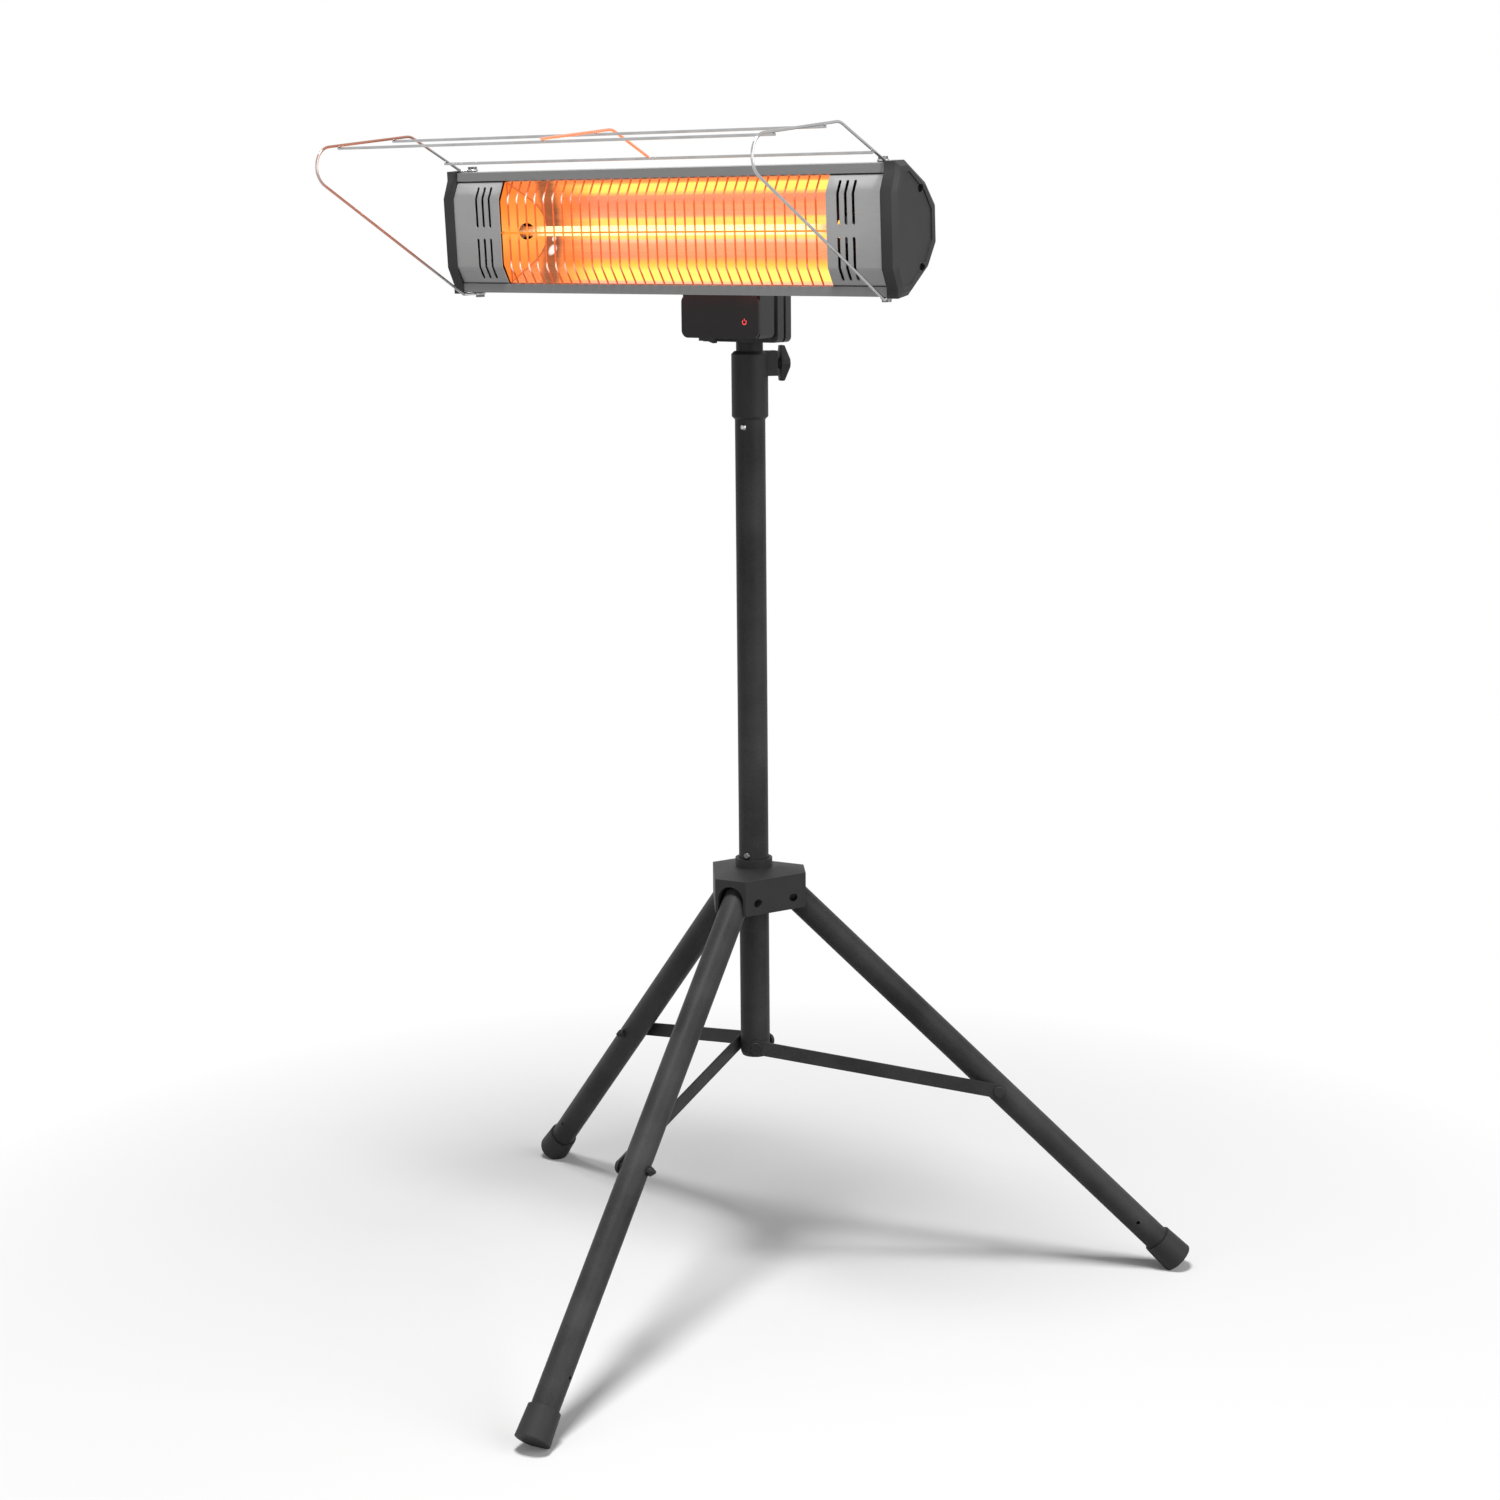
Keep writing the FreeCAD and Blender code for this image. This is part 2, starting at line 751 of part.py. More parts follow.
def box_rib():
    """Plate that closes the box from behind, with its narrow neck in the groove."""
    half = box_width / 2
    inset = groove_inset
    neck = rounded_block(point(inset - half, box_back, box_bottom + inset),
                         point(half - inset, rib_front, box_top - inset), box_corner)
    rib = rounded_block(point(-half, rib_front, box_bottom), point(half, rib_back, box_top), box_corner)
    body = joined(neck, rib)
    body = body.cut(rod(point(0, 0, box_bottom - overrun), point(0, 0, box_top + overrun),
                        socket_radius + seat_gap))
    return cut_box_screws(body)


def cut_box_screws(body):
    for x, z in box_corner_places():
        body = body.cut(rod(point(x, box_back - overrun, z), point(x, plate_back + overrun, z),
                            box_screw_diameter / 2 + seat_gap))
    return body


def pole_socket():
    """Rear plate with the socket that holds the inner tube."""
    half = box_width / 2
    inset = groove_inset
    neck = rounded_block(point(inset - half, rib_back, box_bottom + inset),
                         point(half - inset, plate_front, box_top - inset), box_corner)
    plate = rounded_block(point(-half, plate_front, box_bottom), point(half, plate_back, box_top),
                          box_corner)
    barrel = rod(point(0, 0, box_bottom), point(0, 0, box_top), socket_radius)
    body = joined(plate, neck, barrel)
    body = body.cut(rod(point(0, 0, box_bottom - overrun), point(0, 0, box_top + overrun),
                        inner_radius + seat_gap))
    body = body.cut(rod(point(0, 0, socket_screw_height), point(0, socket_diameter, socket_screw_height),
                        box_screw_diameter / 2 + seat_gap))
    body = body.cut(rod(point(gland_x, rib_back - overrun, gland_height),
                        point(gland_x, plate_back + overrun, gland_height), gland_bore / 2))
    return cut_box_screws(body)


def rear_screw(x, z, face, tip):
    head = rod(point(x, face, z), point(x, face + box_screw_head_height, z), box_screw_head_diameter / 2)
    return joined(head, rod(point(x, tip, z), point(x, face, z), box_screw_diameter / 2))


def box_screws():
    tip = box_body_front + box_wall + overrun
    corners = [rear_screw(x, z, plate_back, tip) for x, z in box_corner_places()]
    return corners + [rear_screw(0, socket_screw_height, socket_radius, inner_bore)]


def cable_gland():
    return pipe(point(gland_x, plate_back, gland_height),
                point(gland_x, plate_back + gland_length, gland_height), gland_diameter / 2, gland_bore / 2)


def bezel_body(gap, below):
    """The part of the bezel that drops through the floor of the box."""
    half_length = rocker_length / 2 + rocker_end_gap + bezel_wall + gap
    half_width = rocker_width / 2 + slide_gap + bezel_wall + gap
    return block(point(rocker_x - half_length, rocker_y - half_width, box_floor - below),
                 point(rocker_x + half_length, rocker_y + half_width, box_floor + bezel_rise))


def rocker_bezel():
    flange = block(point(rocker_x - bezel_flange_length / 2, rocker_y - bezel_flange_width / 2,
                         box_floor - bezel_flange),
                   point(rocker_x + bezel_flange_length / 2, rocker_y + bezel_flange_width / 2,
                         box_floor))
    half_length = rocker_length / 2 + rocker_end_gap
    half_width = rocker_width / 2 + slide_gap
    hole = block(point(rocker_x - half_length, rocker_y - half_width, box_floor - overrun),
                 point(rocker_x + half_length, rocker_y + half_width, box_floor + bezel_rise + overrun))
    return joined(flange, bezel_body(0, 0)).cut(hole).cut(rocker_pin(pin_gap))


def rocker_pin(gap):
    reach = rocker_width / 2 + rocker_pin_reach
    height = box_floor + rocker_pivot_rise
    return rod(point(rocker_x, rocker_y - reach, height), point(rocker_x, rocker_y + reach, height),
               rocker_pin_diameter / 2 + gap)


def rocker():
    half = rocker_length / 2
    height = box_floor + rocker_pivot_rise
    side = rocker_y - rocker_width / 2
    profile = [(-half, rocker_rise), (half, rocker_rise), (half, -rocker_drop), (0, -rocker_waist_drop),
               (-half, -rocker_drop)]
    body = prism([point(rocker_x + x, side, height + z) for x, z in profile], back * rocker_width)
    body = joined(body, rocker_pin(0))
    body.rotate(point(rocker_x, rocker_y, height), back, rocker_swing / 2)
    return body


def tilt_pivot():
    lean = math.radians(head_tilt)
    return point(0, head_y + tilt_pivot_back * math.cos(lean) + tilt_pivot_drop * math.sin(lean),
                 head_height + tilt_pivot_back * math.sin(lean) - tilt_pivot_drop * math.cos(lean))


def tilt_yoke():
    """Base on the pole socket and two arms up to the tilt bolt."""
    top = box_top + yoke_thickness
    base = block(point(-arm_outer, yoke_base_front, box_top), point(arm_outer, yoke_base_back, top))
    base = base.cut(rod(point(0, 0, box_top - overrun), point(0, 0, top + overrun),
                        yoke_bolt_diameter / 2 + seat_gap))
    pivot = tilt_pivot()
    eye = yoke_eye_diameter / 2
    slant = eye * math.sqrt(1 / 2)
    profile = [(yoke_base_front, box_top), (yoke_foot_back, box_top), (pivot.y + slant, pivot.z + slant),
               (pivot.y - slant, pivot.z - slant)]
    body = base
    for x in (-arm_outer, arm_inner):
        arm = prism([point(x, y, z) for y, z in profile], right * yoke_thickness)
        ring = rod(point(x, pivot.y, pivot.z), point(x + yoke_thickness, pivot.y, pivot.z), eye)
        body = joined(body, arm, ring)
    return body.cut(rod(pivot - right * (arm_outer + overrun), pivot + right * (arm_outer + overrun),
                        tilt_bolt_diameter / 2 + seat_gap))


def hexagon(centre, diameter, along):
    """A six-sided head or nut; diameter is across its corners, along is its height."""
    first = along.cross(up + back + right).normalize() * (diameter / 2)
    second = along.cross(first).normalize() * (diameter / 2)
    corners = []
    for index in range(6):
        turn = math.radians(60 * index)
        corners.append(centre + first * math.cos(turn) + second * math.sin(turn))
    return prism(corners, along)


def yoke_bolt():
    top = box_top + yoke_thickness
    head = hexagon(point(0, 0, top), yoke_bolt_head_diameter, up * yoke_bolt_head_height)
    return joined(head, rod(point(0, 0, inner_top - bush_spigot / 2), point(0, 0, top),
                            yoke_bolt_diameter / 2))


def tilt_bolt():
    pivot = tilt_pivot()
    seat = pivot - right * arm_outer
    head = hexagon(seat, tilt_bolt_head_diameter, right * -tilt_bolt_head_height)
    end = pivot + right * (arm_outer + 2 * tilt_bolt_head_height)
    return joined(head, rod(seat, end, tilt_bolt_diameter / 2))


def tilt_nut():
    pivot = tilt_pivot()
    nut = hexagon(pivot + right * arm_outer, tilt_bolt_head_diameter, right * tilt_bolt_head_height)
    return nut.cut(rod(pivot, pivot + right * (2 * arm_outer), tilt_bolt_diameter / 2 + seat_gap))


# Heater housing and end caps, in the heater's own frame

def rear_outline():
    return [(-housing_depth * depth, housing_height * height)
            for depth, height in zip(rear_depth_shares, rear_height_shares)]


def housing_outline():
    return [(0, half_height)] + rear_outline() + [(0, -half_height)]


def head_prism(profile, low, high):
    """A (forward, height) profile drawn out along X."""
    return prism([head_point(low, forward, z) for forward, z in profile], right * (high - low))


def grown(profile, grow):
    """An outline grown by about the same margin all round, or shrunk if it is negative."""
    forwards = [forward for forward, z in profile]
    heights = [z for forward, z in profile]
    middle = ((max(forwards) + min(forwards)) / 2, (max(heights) + min(heights)) / 2)
    spans = (max(forwards) - min(forwards), max(heights) - min(heights))
    return [(middle[0] + (forward - middle[0]) * (1 + 2 * grow / spans[0]),
             middle[1] + (z - middle[1]) * (1 + 2 * grow / spans[1])) for forward, z in profile]


def boss_places():
    return [(-screw_boss_back, screw_boss_rise), (-screw_boss_back, -screw_boss_rise)]


def housing():
    outer = head_prism(housing_outline(), -housing_half, housing_half)
    inner_face = Part.Face(outline([head_point(-housing_half - overrun, forward, z)
                                    for forward, z in housing_outline()]))
    inner = inner_face.makeOffset2D(-housing_wall, 2).extrude(right * (housing_length + 2 * overrun))
    body = outer.cut(inner)
    body = body.cut(block(head_point(-housing_half - overrun, housing_wall, -opening_bottom),
                          head_point(housing_half + overrun, -2 * housing_wall, opening_top)))
    for side in (-1, 1):
        end = side * housing_half
        start = side * (housing_half - screw_boss_length)
        low, high = min(start, end), max(start, end)
        for forward, z in boss_places():
            boss = rod(head_point(low, forward, z), head_point(high, forward, z),
                       screw_boss_diameter / 2)
            reach = math.copysign(half_height, z)
            web = block(head_point(low, forward + web_thickness / 2, min(z, reach)),
                        head_point(high, forward - web_thickness / 2, max(z, reach)))
            body = joined(body, joined(boss, web).common(outer))
            body = body.cut(rod(head_point(low - overrun, forward, z),
                                head_point(high + overrun, forward, z),
                                cap_screw_diameter / 2 + seat_gap))
    for x, forward, z in guard_screw_places():
        body = body.cut(rod(head_point(x, forward, 0), head_point(x, forward, 2 * z),
                            guard_screw_diameter / 2 + seat_gap))
    return body


def cap_outline():
    return housing_outline() + [(0, -opening_bottom), (front_bulge, -flat_bottom),
                                (front_bulge, flat_top),
                                (0, opening_top)]


def end_cap(side):
    """Hollow cap on one end: a straight band, a drawn-in face and a shallow dish."""
    start = side * housing_half
    band = start + side * cap_band
    face = start + side * cap_thickness
    rim = grown(cap_outline(), cap_lip)
    body = head_prism(rim, start, band)
    wires = [outline([head_point(x, f, z) for f, z in grown(cap_outline(), grow)])
             for x, grow in ((band, cap_lip), (face, -cap_face_inset))]
    body = joined(body, Part.makeLoft(wires, True, True))
    dish = head_prism(grown(cap_outline(), -cap_dish_inset), face - side * cap_dish_depth,
                      face + side * overrun)
    hollow = head_prism(grown(cap_outline(), cap_lip - cap_wall), start - side * overrun,
                        start + side * cap_hollow_depth)
    body = body.cut(dish).cut(hollow)
    seat = face - side * (cap_dish_depth + cap_recess_depth)
    for forward, z in boss_places():
        body = body.cut(rod(head_point(seat, forward, z), head_point(face + side * overrun, forward, z),
                            cap_screw_head_diameter / 2 + slide_gap))
        body = body.cut(rod(head_point(start, forward, z), head_point(face, forward, z),
                            cap_screw_diameter / 2 + seat_gap))
    return body


def cap_screws():
    screws = []
    for side in (-1, 1):
        seat = side * (housing_half + cap_thickness - cap_dish_depth - cap_recess_depth)
        tip = side * (housing_half - screw_boss_length)
        for forward, z in boss_places():
            head = rod(head_point(seat, forward, z),
                       head_point(seat + side * cap_screw_head_height, forward, z),
                       cap_screw_head_diameter / 2)
            shank = rod(head_point(tip, forward, z), head_point(seat, forward, z),
                        cap_screw_diameter / 2)
            screws.append(joined(head, shank))
    return screws


def front_profile(tuck, setback, drop):
    """The bevelled line of the front from top to bottom: tucked behind the flanges and set back,
    with its bevels starting a drop inside the opening."""
    rest = -housing_wall - setback
    front = front_bulge - setback
    return [(rest, opening_top + tuck), (rest, opening_top - drop), (front, flat_top),
            (front, -flat_bottom), (rest, -opening_bottom + drop), (rest, -opening_bottom - tuck)]


def slot_cutter(x, low, high):
    """An upright slot with round ends, through the front of a vent panel."""
    radius = slot_width / 2
    reach = front_bulge + overrun
    low += radius
    high -= radius
    cutter = block(head_point(x - radius, reach, low), head_point(x + radius, -reach, high))
    ends = [rod(head_point(x, reach, z), head_point(x, -reach, z), radius) for z in (low, high)]
    return joined(cutter, *ends)


def vent_panel(side):
    profile = front_profile(panel_tuck, 0, 0) + front_profile(panel_tuck, panel_sheet, 0)[::-1]
    body = head_prism(profile, side * opening_half, side * housing_half)
    for column in range(slot_count):
        middle = side * (opening_half + slot_margin + column * slot_pitch)
        body = body.cut(slot_cutter(middle, slot_inner, slot_outer))
        body = body.cut(slot_cutter(middle, -slot_outer, -slot_inner))
    return body


def front_grille():
    """Upright wires bent along the bevels, welded to three cross wires behind them."""
    profile = front_profile(wire_tuck, wire_radius + seat_gap, wire_diameter)
    rim_bend = wire_bend * 2 / 3
    wires = []
    for index in range(wire_count):
        x = (index - (wire_count - 1) / 2) * wire_pitch
        path = [head_point(x, forward, z) for forward, z in profile]
        wires.append(bent_wire(path, [rim_bend, wire_bend, wire_bend, rim_bend], wire_radius))
    reach = opening_half + cross_wire_overhang
    rest = -housing_wall - wire_radius - seat_gap
    for forward, z in ((rest, opening_top + wire_radius), (front_bulge - wire_radius - seat_gap, 0),
                       (rest, -opening_bottom - wire_radius)):
        behind = forward - wire_diameter - seat_gap
        wires.append(rod(head_point(-reach, behind, z), head_point(reach, behind, z), wire_radius))
    return wires


def trough(extra):
    """The closed inside outline of the reflector, grown outwards by extra."""
    mouth = reflector_mouth / 2 + extra
    knee = reflector_knee_width / 2 + extra
    top = head_point(0, -reflector_setback, mouth)
    top_knee = head_point(0, -reflector_knee_back, knee)
    bottom_knee = head_point(0, -reflector_knee_back, -knee)
    bottom = head_point(0, -reflector_setback, -mouth)
    curve = Part.Arc(top_knee, head_point(0, -reflector_back - extra, 0), bottom_knee)
    return Part.Wire([Part.makeLine(top, top_knee), curve.toShape(), Part.makeLine(bottom_knee, bottom),
                      Part.makeLine(bottom, top)])


def trough_solid(extra, half_length):
    face = Part.Face(trough(extra))
    face.translate(point(-half_length, 0, 0))
    return face.extrude(right * (2 * half_length))


def reflector():
    half = opening_half - seat_gap
    body = trough_solid(reflector_sheet, half).cut(trough_solid(0, half + overrun))
    for side in (-1, 1):
        inner = side * reflector_mouth / 2
        outer = side * (reflector_mouth / 2 + reflector_lip)
        low = head_point(-half, -reflector_setback, min(inner, outer))
        high = head_point(half, -reflector_setback - reflector_sheet, max(inner, outer))
        body = joined(body, block(low, high))
    return body


def reflector_flange(side):
    """Front edge of an end plate, up to the grille, with a notch for its middle cross wire."""
    x = side * (opening_half - seat_gap - reflector_sheet)
    mouth = reflector_mouth / 2 - seat_gap
    setback = 2 * panel_sheet
    rest = -housing_wall - setback
    front = front_bulge - setback
    profile = [(-reflector_setback, mouth), (rest, mouth), (front, flat_top - setback),
               (front, -flat_bottom + setback), (rest, -mouth), (-reflector_setback, -mouth)]
    depth = right * (side * reflector_sheet)
    flange = prism([head_point(x, f, z) for f, z in profile], depth)
    notch = wire_diameter / 2 + side_gap
    corners = [(front - 2 * wire_diameter, notch), (front + overrun, notch), (front + overrun, -notch),
               (front - 2 * wire_diameter, -notch)]
    return flange.cut(prism([head_point(x, f, z) for f, z in corners], depth))


def reflector_end(side):
    """Slanted plate across one end of the trough, with the hole of the lamp."""
    half = opening_half - seat_gap
    front = head_point(side * (half - reflector_sheet), -reflector_setback, 0)
    lean = math.tan(math.radians(end_plate_lean)) * (reflector_back - reflector_setback)
    rear = head_point(front.x - side * lean, -reflector_back, 0)
    depth = right * (side * reflector_sheet)
    drop = up * housing_height
    corners = [front, rear, rear + depth, front + depth]
    slab = prism([corner - drop / 2 for corner in corners], drop)
    plate = joined(slab.common(trough_solid(-seat_gap, half)), reflector_flange(side))
    axis = head_point(0, -lamp_back, 0)
    return plate.cut(rod(axis, axis + right * (side * housing_half), lamp_hole_diameter / 2))


def lamp_tube():
    axis = head_point(0, -lamp_back, 0)
    radius = lamp_diameter / 2
    return pipe(axis - right * lamp_half, axis + right * lamp_half, radius, radius - lamp_wall)


def filament():
    axis = head_point(0, -lamp_back, 0)
    coil = rod(axis - right * filament_half, axis + right * filament_half, filament_diameter / 2)
    tails = rod(axis - right * lamp_half, axis + right * lamp_half, filament_diameter / 4)
    return joined(coil, tails)


def lamp_ceramic(side):
    """White sleeve on one end of the lamp, closed at its outer end."""
    axis = head_point(0, -lamp_back, 0)
    inner = axis + right * (side * (lamp_half - ceramic_grip))
    outer = inner + right * (side * ceramic_length)
    body = rod(inner, outer, ceramic_diameter / 2)
    return body.cut(rod(axis, axis + right * (side * lamp_half), lamp_diameter / 2 + seat_gap))


def lamp_holder(side):
    """Bent plate that carries a lamp ceramic off the rear wall."""
    place = side * holder_x
    wall = -housing_depth + housing_wall
    low, high = -holder_height / 2, holder_height / 2
    plate = block(head_point(place - holder_sheet / 2, -lamp_back + ceramic_diameter, low),
                  head_point(place + holder_sheet / 2, wall, high))
    foot_end = place + side * holder_foot
    strap = block(head_point(min(place, foot_end), wall + holder_sheet, low / 2),
                  head_point(max(place, foot_end), wall, high / 2))
    axis = head_point(place - holder_foot, -lamp_back, 0)
    hole = rod(axis, axis + right * (2 * holder_foot), ceramic_diameter / 2 + seat_gap)
    return joined(plate, strap).cut(hole)


def thermal_cutout():
    wall = -housing_depth + housing_wall
    return rod(head_point(cutout_x, wall, 0), head_point(cutout_x, wall + cutout_height, 0),
               cutout_diameter / 2)


def terminal_block():
    wall = -housing_depth + housing_wall
    middle = housing_height * (rear_height_shares[2] + rear_height_shares[3]) / 2
    half = terminal_width / 2
    return block(head_point(terminal_x - half, wall + terminal_depth, middle - terminal_height / 2),
                 head_point(terminal_x + half, wall, middle + terminal_height / 2))


def hinge_ears():
    """Plate on the rear wall with two ears for the tilt bolt."""
    wall = -housing_depth
    ear_outer = arm_inner - side_gap
    rise = housing_height * rear_height_shares[3]
    base = block(head_point(-ear_outer, wall, rise), head_point(ear_outer, wall - ear_base_thickness,
                                                                rise + ear_base_height))
    pivot = (-tilt_pivot_back, -tilt_pivot_drop)
    eye = ear_diameter / 2
    slant = eye * math.sqrt(1 / 2)
    profile = [(wall, rise + ear_base_height), (wall, rise), (pivot[0] + slant, pivot[1] - slant),
               (pivot[0] - slant, pivot[1] + slant)]
    body = base
    for low in (-ear_outer, ear_outer - ear_thickness):
        ear = head_prism(profile, low, low + ear_thickness)
        ring = rod(head_point(low, *pivot), head_point(low + ear_thickness, *pivot), eye)
        body = joined(body, ear, ring)
    return body.cut(rod(head_point(-arm_outer, *pivot), head_point(arm_outer, *pivot),
                        tilt_bolt_diameter / 2 + pin_gap))


# Wire guard, in the heater's own frame

def guard_rest():
    """Height of the guard's wire above the middle where it lies on the housing."""
    return housing_height * rear_height_shares[0] + guard_radius + seat_gap


def eyelet_place(reach):
    """How far inward and back the tail of a loop has come after its reach."""
    angle = math.radians(eyelet_angle)
    return reach * math.sin(angle), guard_foot_back + reach * math.cos(angle)


def guard_screw_places():
    inward, backward = eyelet_place(eyelet_reach + eyelet_radius)
    return [(side * (guard_half_width - inward), -backward, level) for side in (-1, 1)
            for level in (half_height, -half_height)]


def guard_loop(side):
    """Side loop, from the eyelet on top of the housing round to the one beneath it."""
    x = side * guard_half_width
    rest = guard_rest()
    inward, backward = eyelet_place(eyelet_reach)
    tail = x - side * inward
    path = [head_point(tail, -backward, rest), head_point(x, -guard_foot_back, rest),
            head_point(x, guard_bend_forward, guard_bend_height),
            head_point(x, guard_front_forward, guard_front_height),
            head_point(x, guard_low_forward, -rest), head_point(tail, -backward, -rest)]
    wire = bent_wire(path, [guard_foot_radius, guard_bend_radius, guard_nose_radius, guard_foot_radius],
                     guard_radius)
    inward, backward = eyelet_place(eyelet_reach + eyelet_radius)
    rings = [Part.makeTorus(eyelet_radius, guard_radius, head_point(x - side * inward, -backward, z), up)
             for z in (rest, -rest)]
    return joined(wire, *rings)


def guard_line(forward):
    """Height of the guard's top wire at a distance forward, and the slope there."""
    if forward < guard_bend_forward:
        slope = (guard_bend_height - guard_rest()) / (guard_bend_forward + guard_foot_back)
    else:
        slope = (guard_front_height - guard_bend_height) / (guard_front_forward - guard_bend_forward)
    return guard_bend_height + slope * (forward - guard_bend_forward), slope


def guard_long_wires():
    """Three straight wires under the loops, from side to side."""
    wires = []
    for forward in long_wire_forwards:
        height, slope = guard_line(forward)
        away = (guard_wire + seat_gap) / math.hypot(1, slope)
        reach = guard_half_width + guard_radius
        ends = [head_point(side * reach, forward + slope * away, height - away)
                for side in (-1, 1)]
        wires.append(rod(ends[0], ends[1], guard_radius))
    return wires


def guard_rib():
    first = long_wire_forwards[-1] + rib_end
    last = long_wire_forwards[0] - rib_end
    path = [head_point(0, forward, guard_line(forward)[0])
            for forward in (first, guard_bend_forward, last)]
    return bent_wire(path, [guard_bend_radius], guard_radius)


def guard_screws():
    screws = []
    for x, forward, level in guard_screw_places():
        sign = math.copysign(1, level)
        seat = sign * (guard_rest() + guard_radius + seat_gap)
        tip = seat - sign * guard_screw_length
        head = rod(head_point(x, forward, seat),
                   head_point(x, forward, seat + sign * guard_screw_head_height),
                   guard_screw_head_diameter / 2)
        screws.append(joined(head, rod(head_point(x, forward, tip), head_point(x, forward, seat),
                                       guard_screw_diameter / 2)))
    return screws


def build_stand():
    save("mast_tube", mast_tube())
    save("mast_plug", mast_plug())
    save("clamp_sleeve", clamp_sleeve())
    save("clamp_knob", clamp_knob())
    save("stop_screw", stop_screw())
    save("inner_tube", inner_tube())
    save("guide_bush", guide_bush())
    save("tube_plug", tube_plug())
    save("hub", hub())
    save("hub_pins", *hub_pins())
    save("lock_button", lock_button())
    mast_pin = brace_pin(point(0, 0, brace_pin_height), mast_bore, brace_open_gap)
    save("mast_brace_pins", *[turned(mast_pin, leg_azimuth(index)) for index in range(leg_count)])
    pieces = {"leg": leg(), "foot": foot(), "leg_bolt": leg_bolt(), "brace": brace()}
    for index, letter in enumerate(leg_names):
        for name, piece in pieces.items():
            save(name + "_" + letter, turned(piece, leg_azimuth(index)))


def build_pole_top():
    save("control_box", control_box())
    save("front_panel", front_panel())
    save("power_light", light_rod(0))
    save("circuit_board", circuit_board())
    save("tip_switch", tip_switch())
    save("box_rib", box_rib())
    save("pole_socket", pole_socket())
    save("box_screws", *box_screws())
    save("cable_gland", cable_gland())
    save("rocker_bezel", rocker_bezel())
    save("rocker", rocker())
    save("tilt_yoke", tilt_yoke())
    save("yoke_bolt", yoke_bolt())
    save("tilt_bolt", tilt_bolt())
    save("tilt_nut", tilt_nut())


def build_heater():
    save_head("housing", housing())
    save_head("cap_screws", *cap_screws())
    save_head("front_grille", *front_grille())
    save_head("reflector", reflector())
    save_head("lamp_tube", lamp_tube())
    save_head("filament", filament())
    save_head("reflector_ends", reflector_end(-1), reflector_end(1))
    save_head("lamp_ceramics", lamp_ceramic(-1), lamp_ceramic(1))
    save_head("lamp_holders", lamp_holder(-1), lamp_holder(1))
    save_head("thermal_cutout", thermal_cutout())
    save_head("terminal_block", terminal_block())
    save_head("hinge_ears", hinge_ears())
    save_head("guard_long_wires", *guard_long_wires())
    save_head("guard_rib", guard_rib())
    save_head("guard_screws", *guard_screws())
    for side, name in ((-1, "left"), (1, "right")):
        save_head("end_cap_" + name, end_cap(side))
        save_head("vent_panel_" + name, vent_panel(side))
        save_head("guard_loop_" + name, guard_loop(side))


os.makedirs("parts", exist_ok=True)
build_stand()
build_pole_top()
build_heater()
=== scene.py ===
# %% [markdown]
# # An infrared heater on a folding tripod
# The construction comes ready-made: every tube, plate and screw is a node of the packed frame, in
# metres, at its real place. This lesson dresses it. Most nodes keep their shape and get rounded edges
# and a finish; the glowing coil and the symbol on the panel are modelled here.

# %% Load the frame and read what belongs where
import json
import math

import bmesh
import bpy
from mathutils import Matrix, Vector


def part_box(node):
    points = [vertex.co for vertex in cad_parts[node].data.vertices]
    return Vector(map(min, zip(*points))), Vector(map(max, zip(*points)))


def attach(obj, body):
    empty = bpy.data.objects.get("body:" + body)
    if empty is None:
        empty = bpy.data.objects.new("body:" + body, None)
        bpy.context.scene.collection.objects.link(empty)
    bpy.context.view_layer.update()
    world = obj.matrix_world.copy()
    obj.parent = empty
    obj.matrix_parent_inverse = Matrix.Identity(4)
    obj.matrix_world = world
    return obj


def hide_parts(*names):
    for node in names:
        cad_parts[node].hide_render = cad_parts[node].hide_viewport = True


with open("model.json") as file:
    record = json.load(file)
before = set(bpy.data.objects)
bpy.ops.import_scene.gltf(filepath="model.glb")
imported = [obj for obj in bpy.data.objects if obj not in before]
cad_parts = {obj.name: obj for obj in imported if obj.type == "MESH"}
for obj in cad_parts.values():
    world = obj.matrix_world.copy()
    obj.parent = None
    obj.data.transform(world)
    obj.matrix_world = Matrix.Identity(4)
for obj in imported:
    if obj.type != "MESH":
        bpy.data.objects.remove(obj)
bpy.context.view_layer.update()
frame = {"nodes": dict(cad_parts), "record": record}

record = frame["record"]
slot_of = {part["node"]: part["material_slot"] for part in record["subparts"]}
body_of = {node: body for body, nodes in record["behaviour"]["bodies"].items() for node in nodes}
MM = 0.001


# %% [markdown]
# ## The camera
# The photograph was taken from the heater's right, a little below its top, with a short telephoto
# lens. The camera's place was worked out from the tripod's feet, the mast and the heater's corners,
# so it is written as a point, a heading, a downward pitch and a very small roll.

# %% Place the camera
eye = Vector((1.6296, -2.2221, 1.1564))
heading = math.radians(36.32)
pitch_down = math.radians(11.37)
roll = math.radians(0.5)
camera_data = bpy.data.cameras.new("photo_camera")
camera_data.sensor_width = 36.0
camera_data.lens = 62.88
camera = bpy.data.objects.new("photo_camera", camera_data)
turn = Matrix.Rotation(heading, 4, "Z") @ Matrix.Rotation(math.pi / 2 - pitch_down, 4, "X")
camera.matrix_world = Matrix.Translation(eye) @ turn @ Matrix.Rotation(-roll, 4, "Z")
bpy.context.collection.objects.link(camera)
bpy.context.scene.camera = camera
print("camera lens", camera_data.lens, "mm")


# %% [markdown]
# ## Shader maths as Python
# A finish is easier to read as an expression than as a web of nodes. Wire wraps one output socket and
# overloads the operators, so that 0.4 + 0.1 * grain adds its own Math nodes. Shading holds a node tree and
# the one method that makes every other node, for the materials and for the world alike.

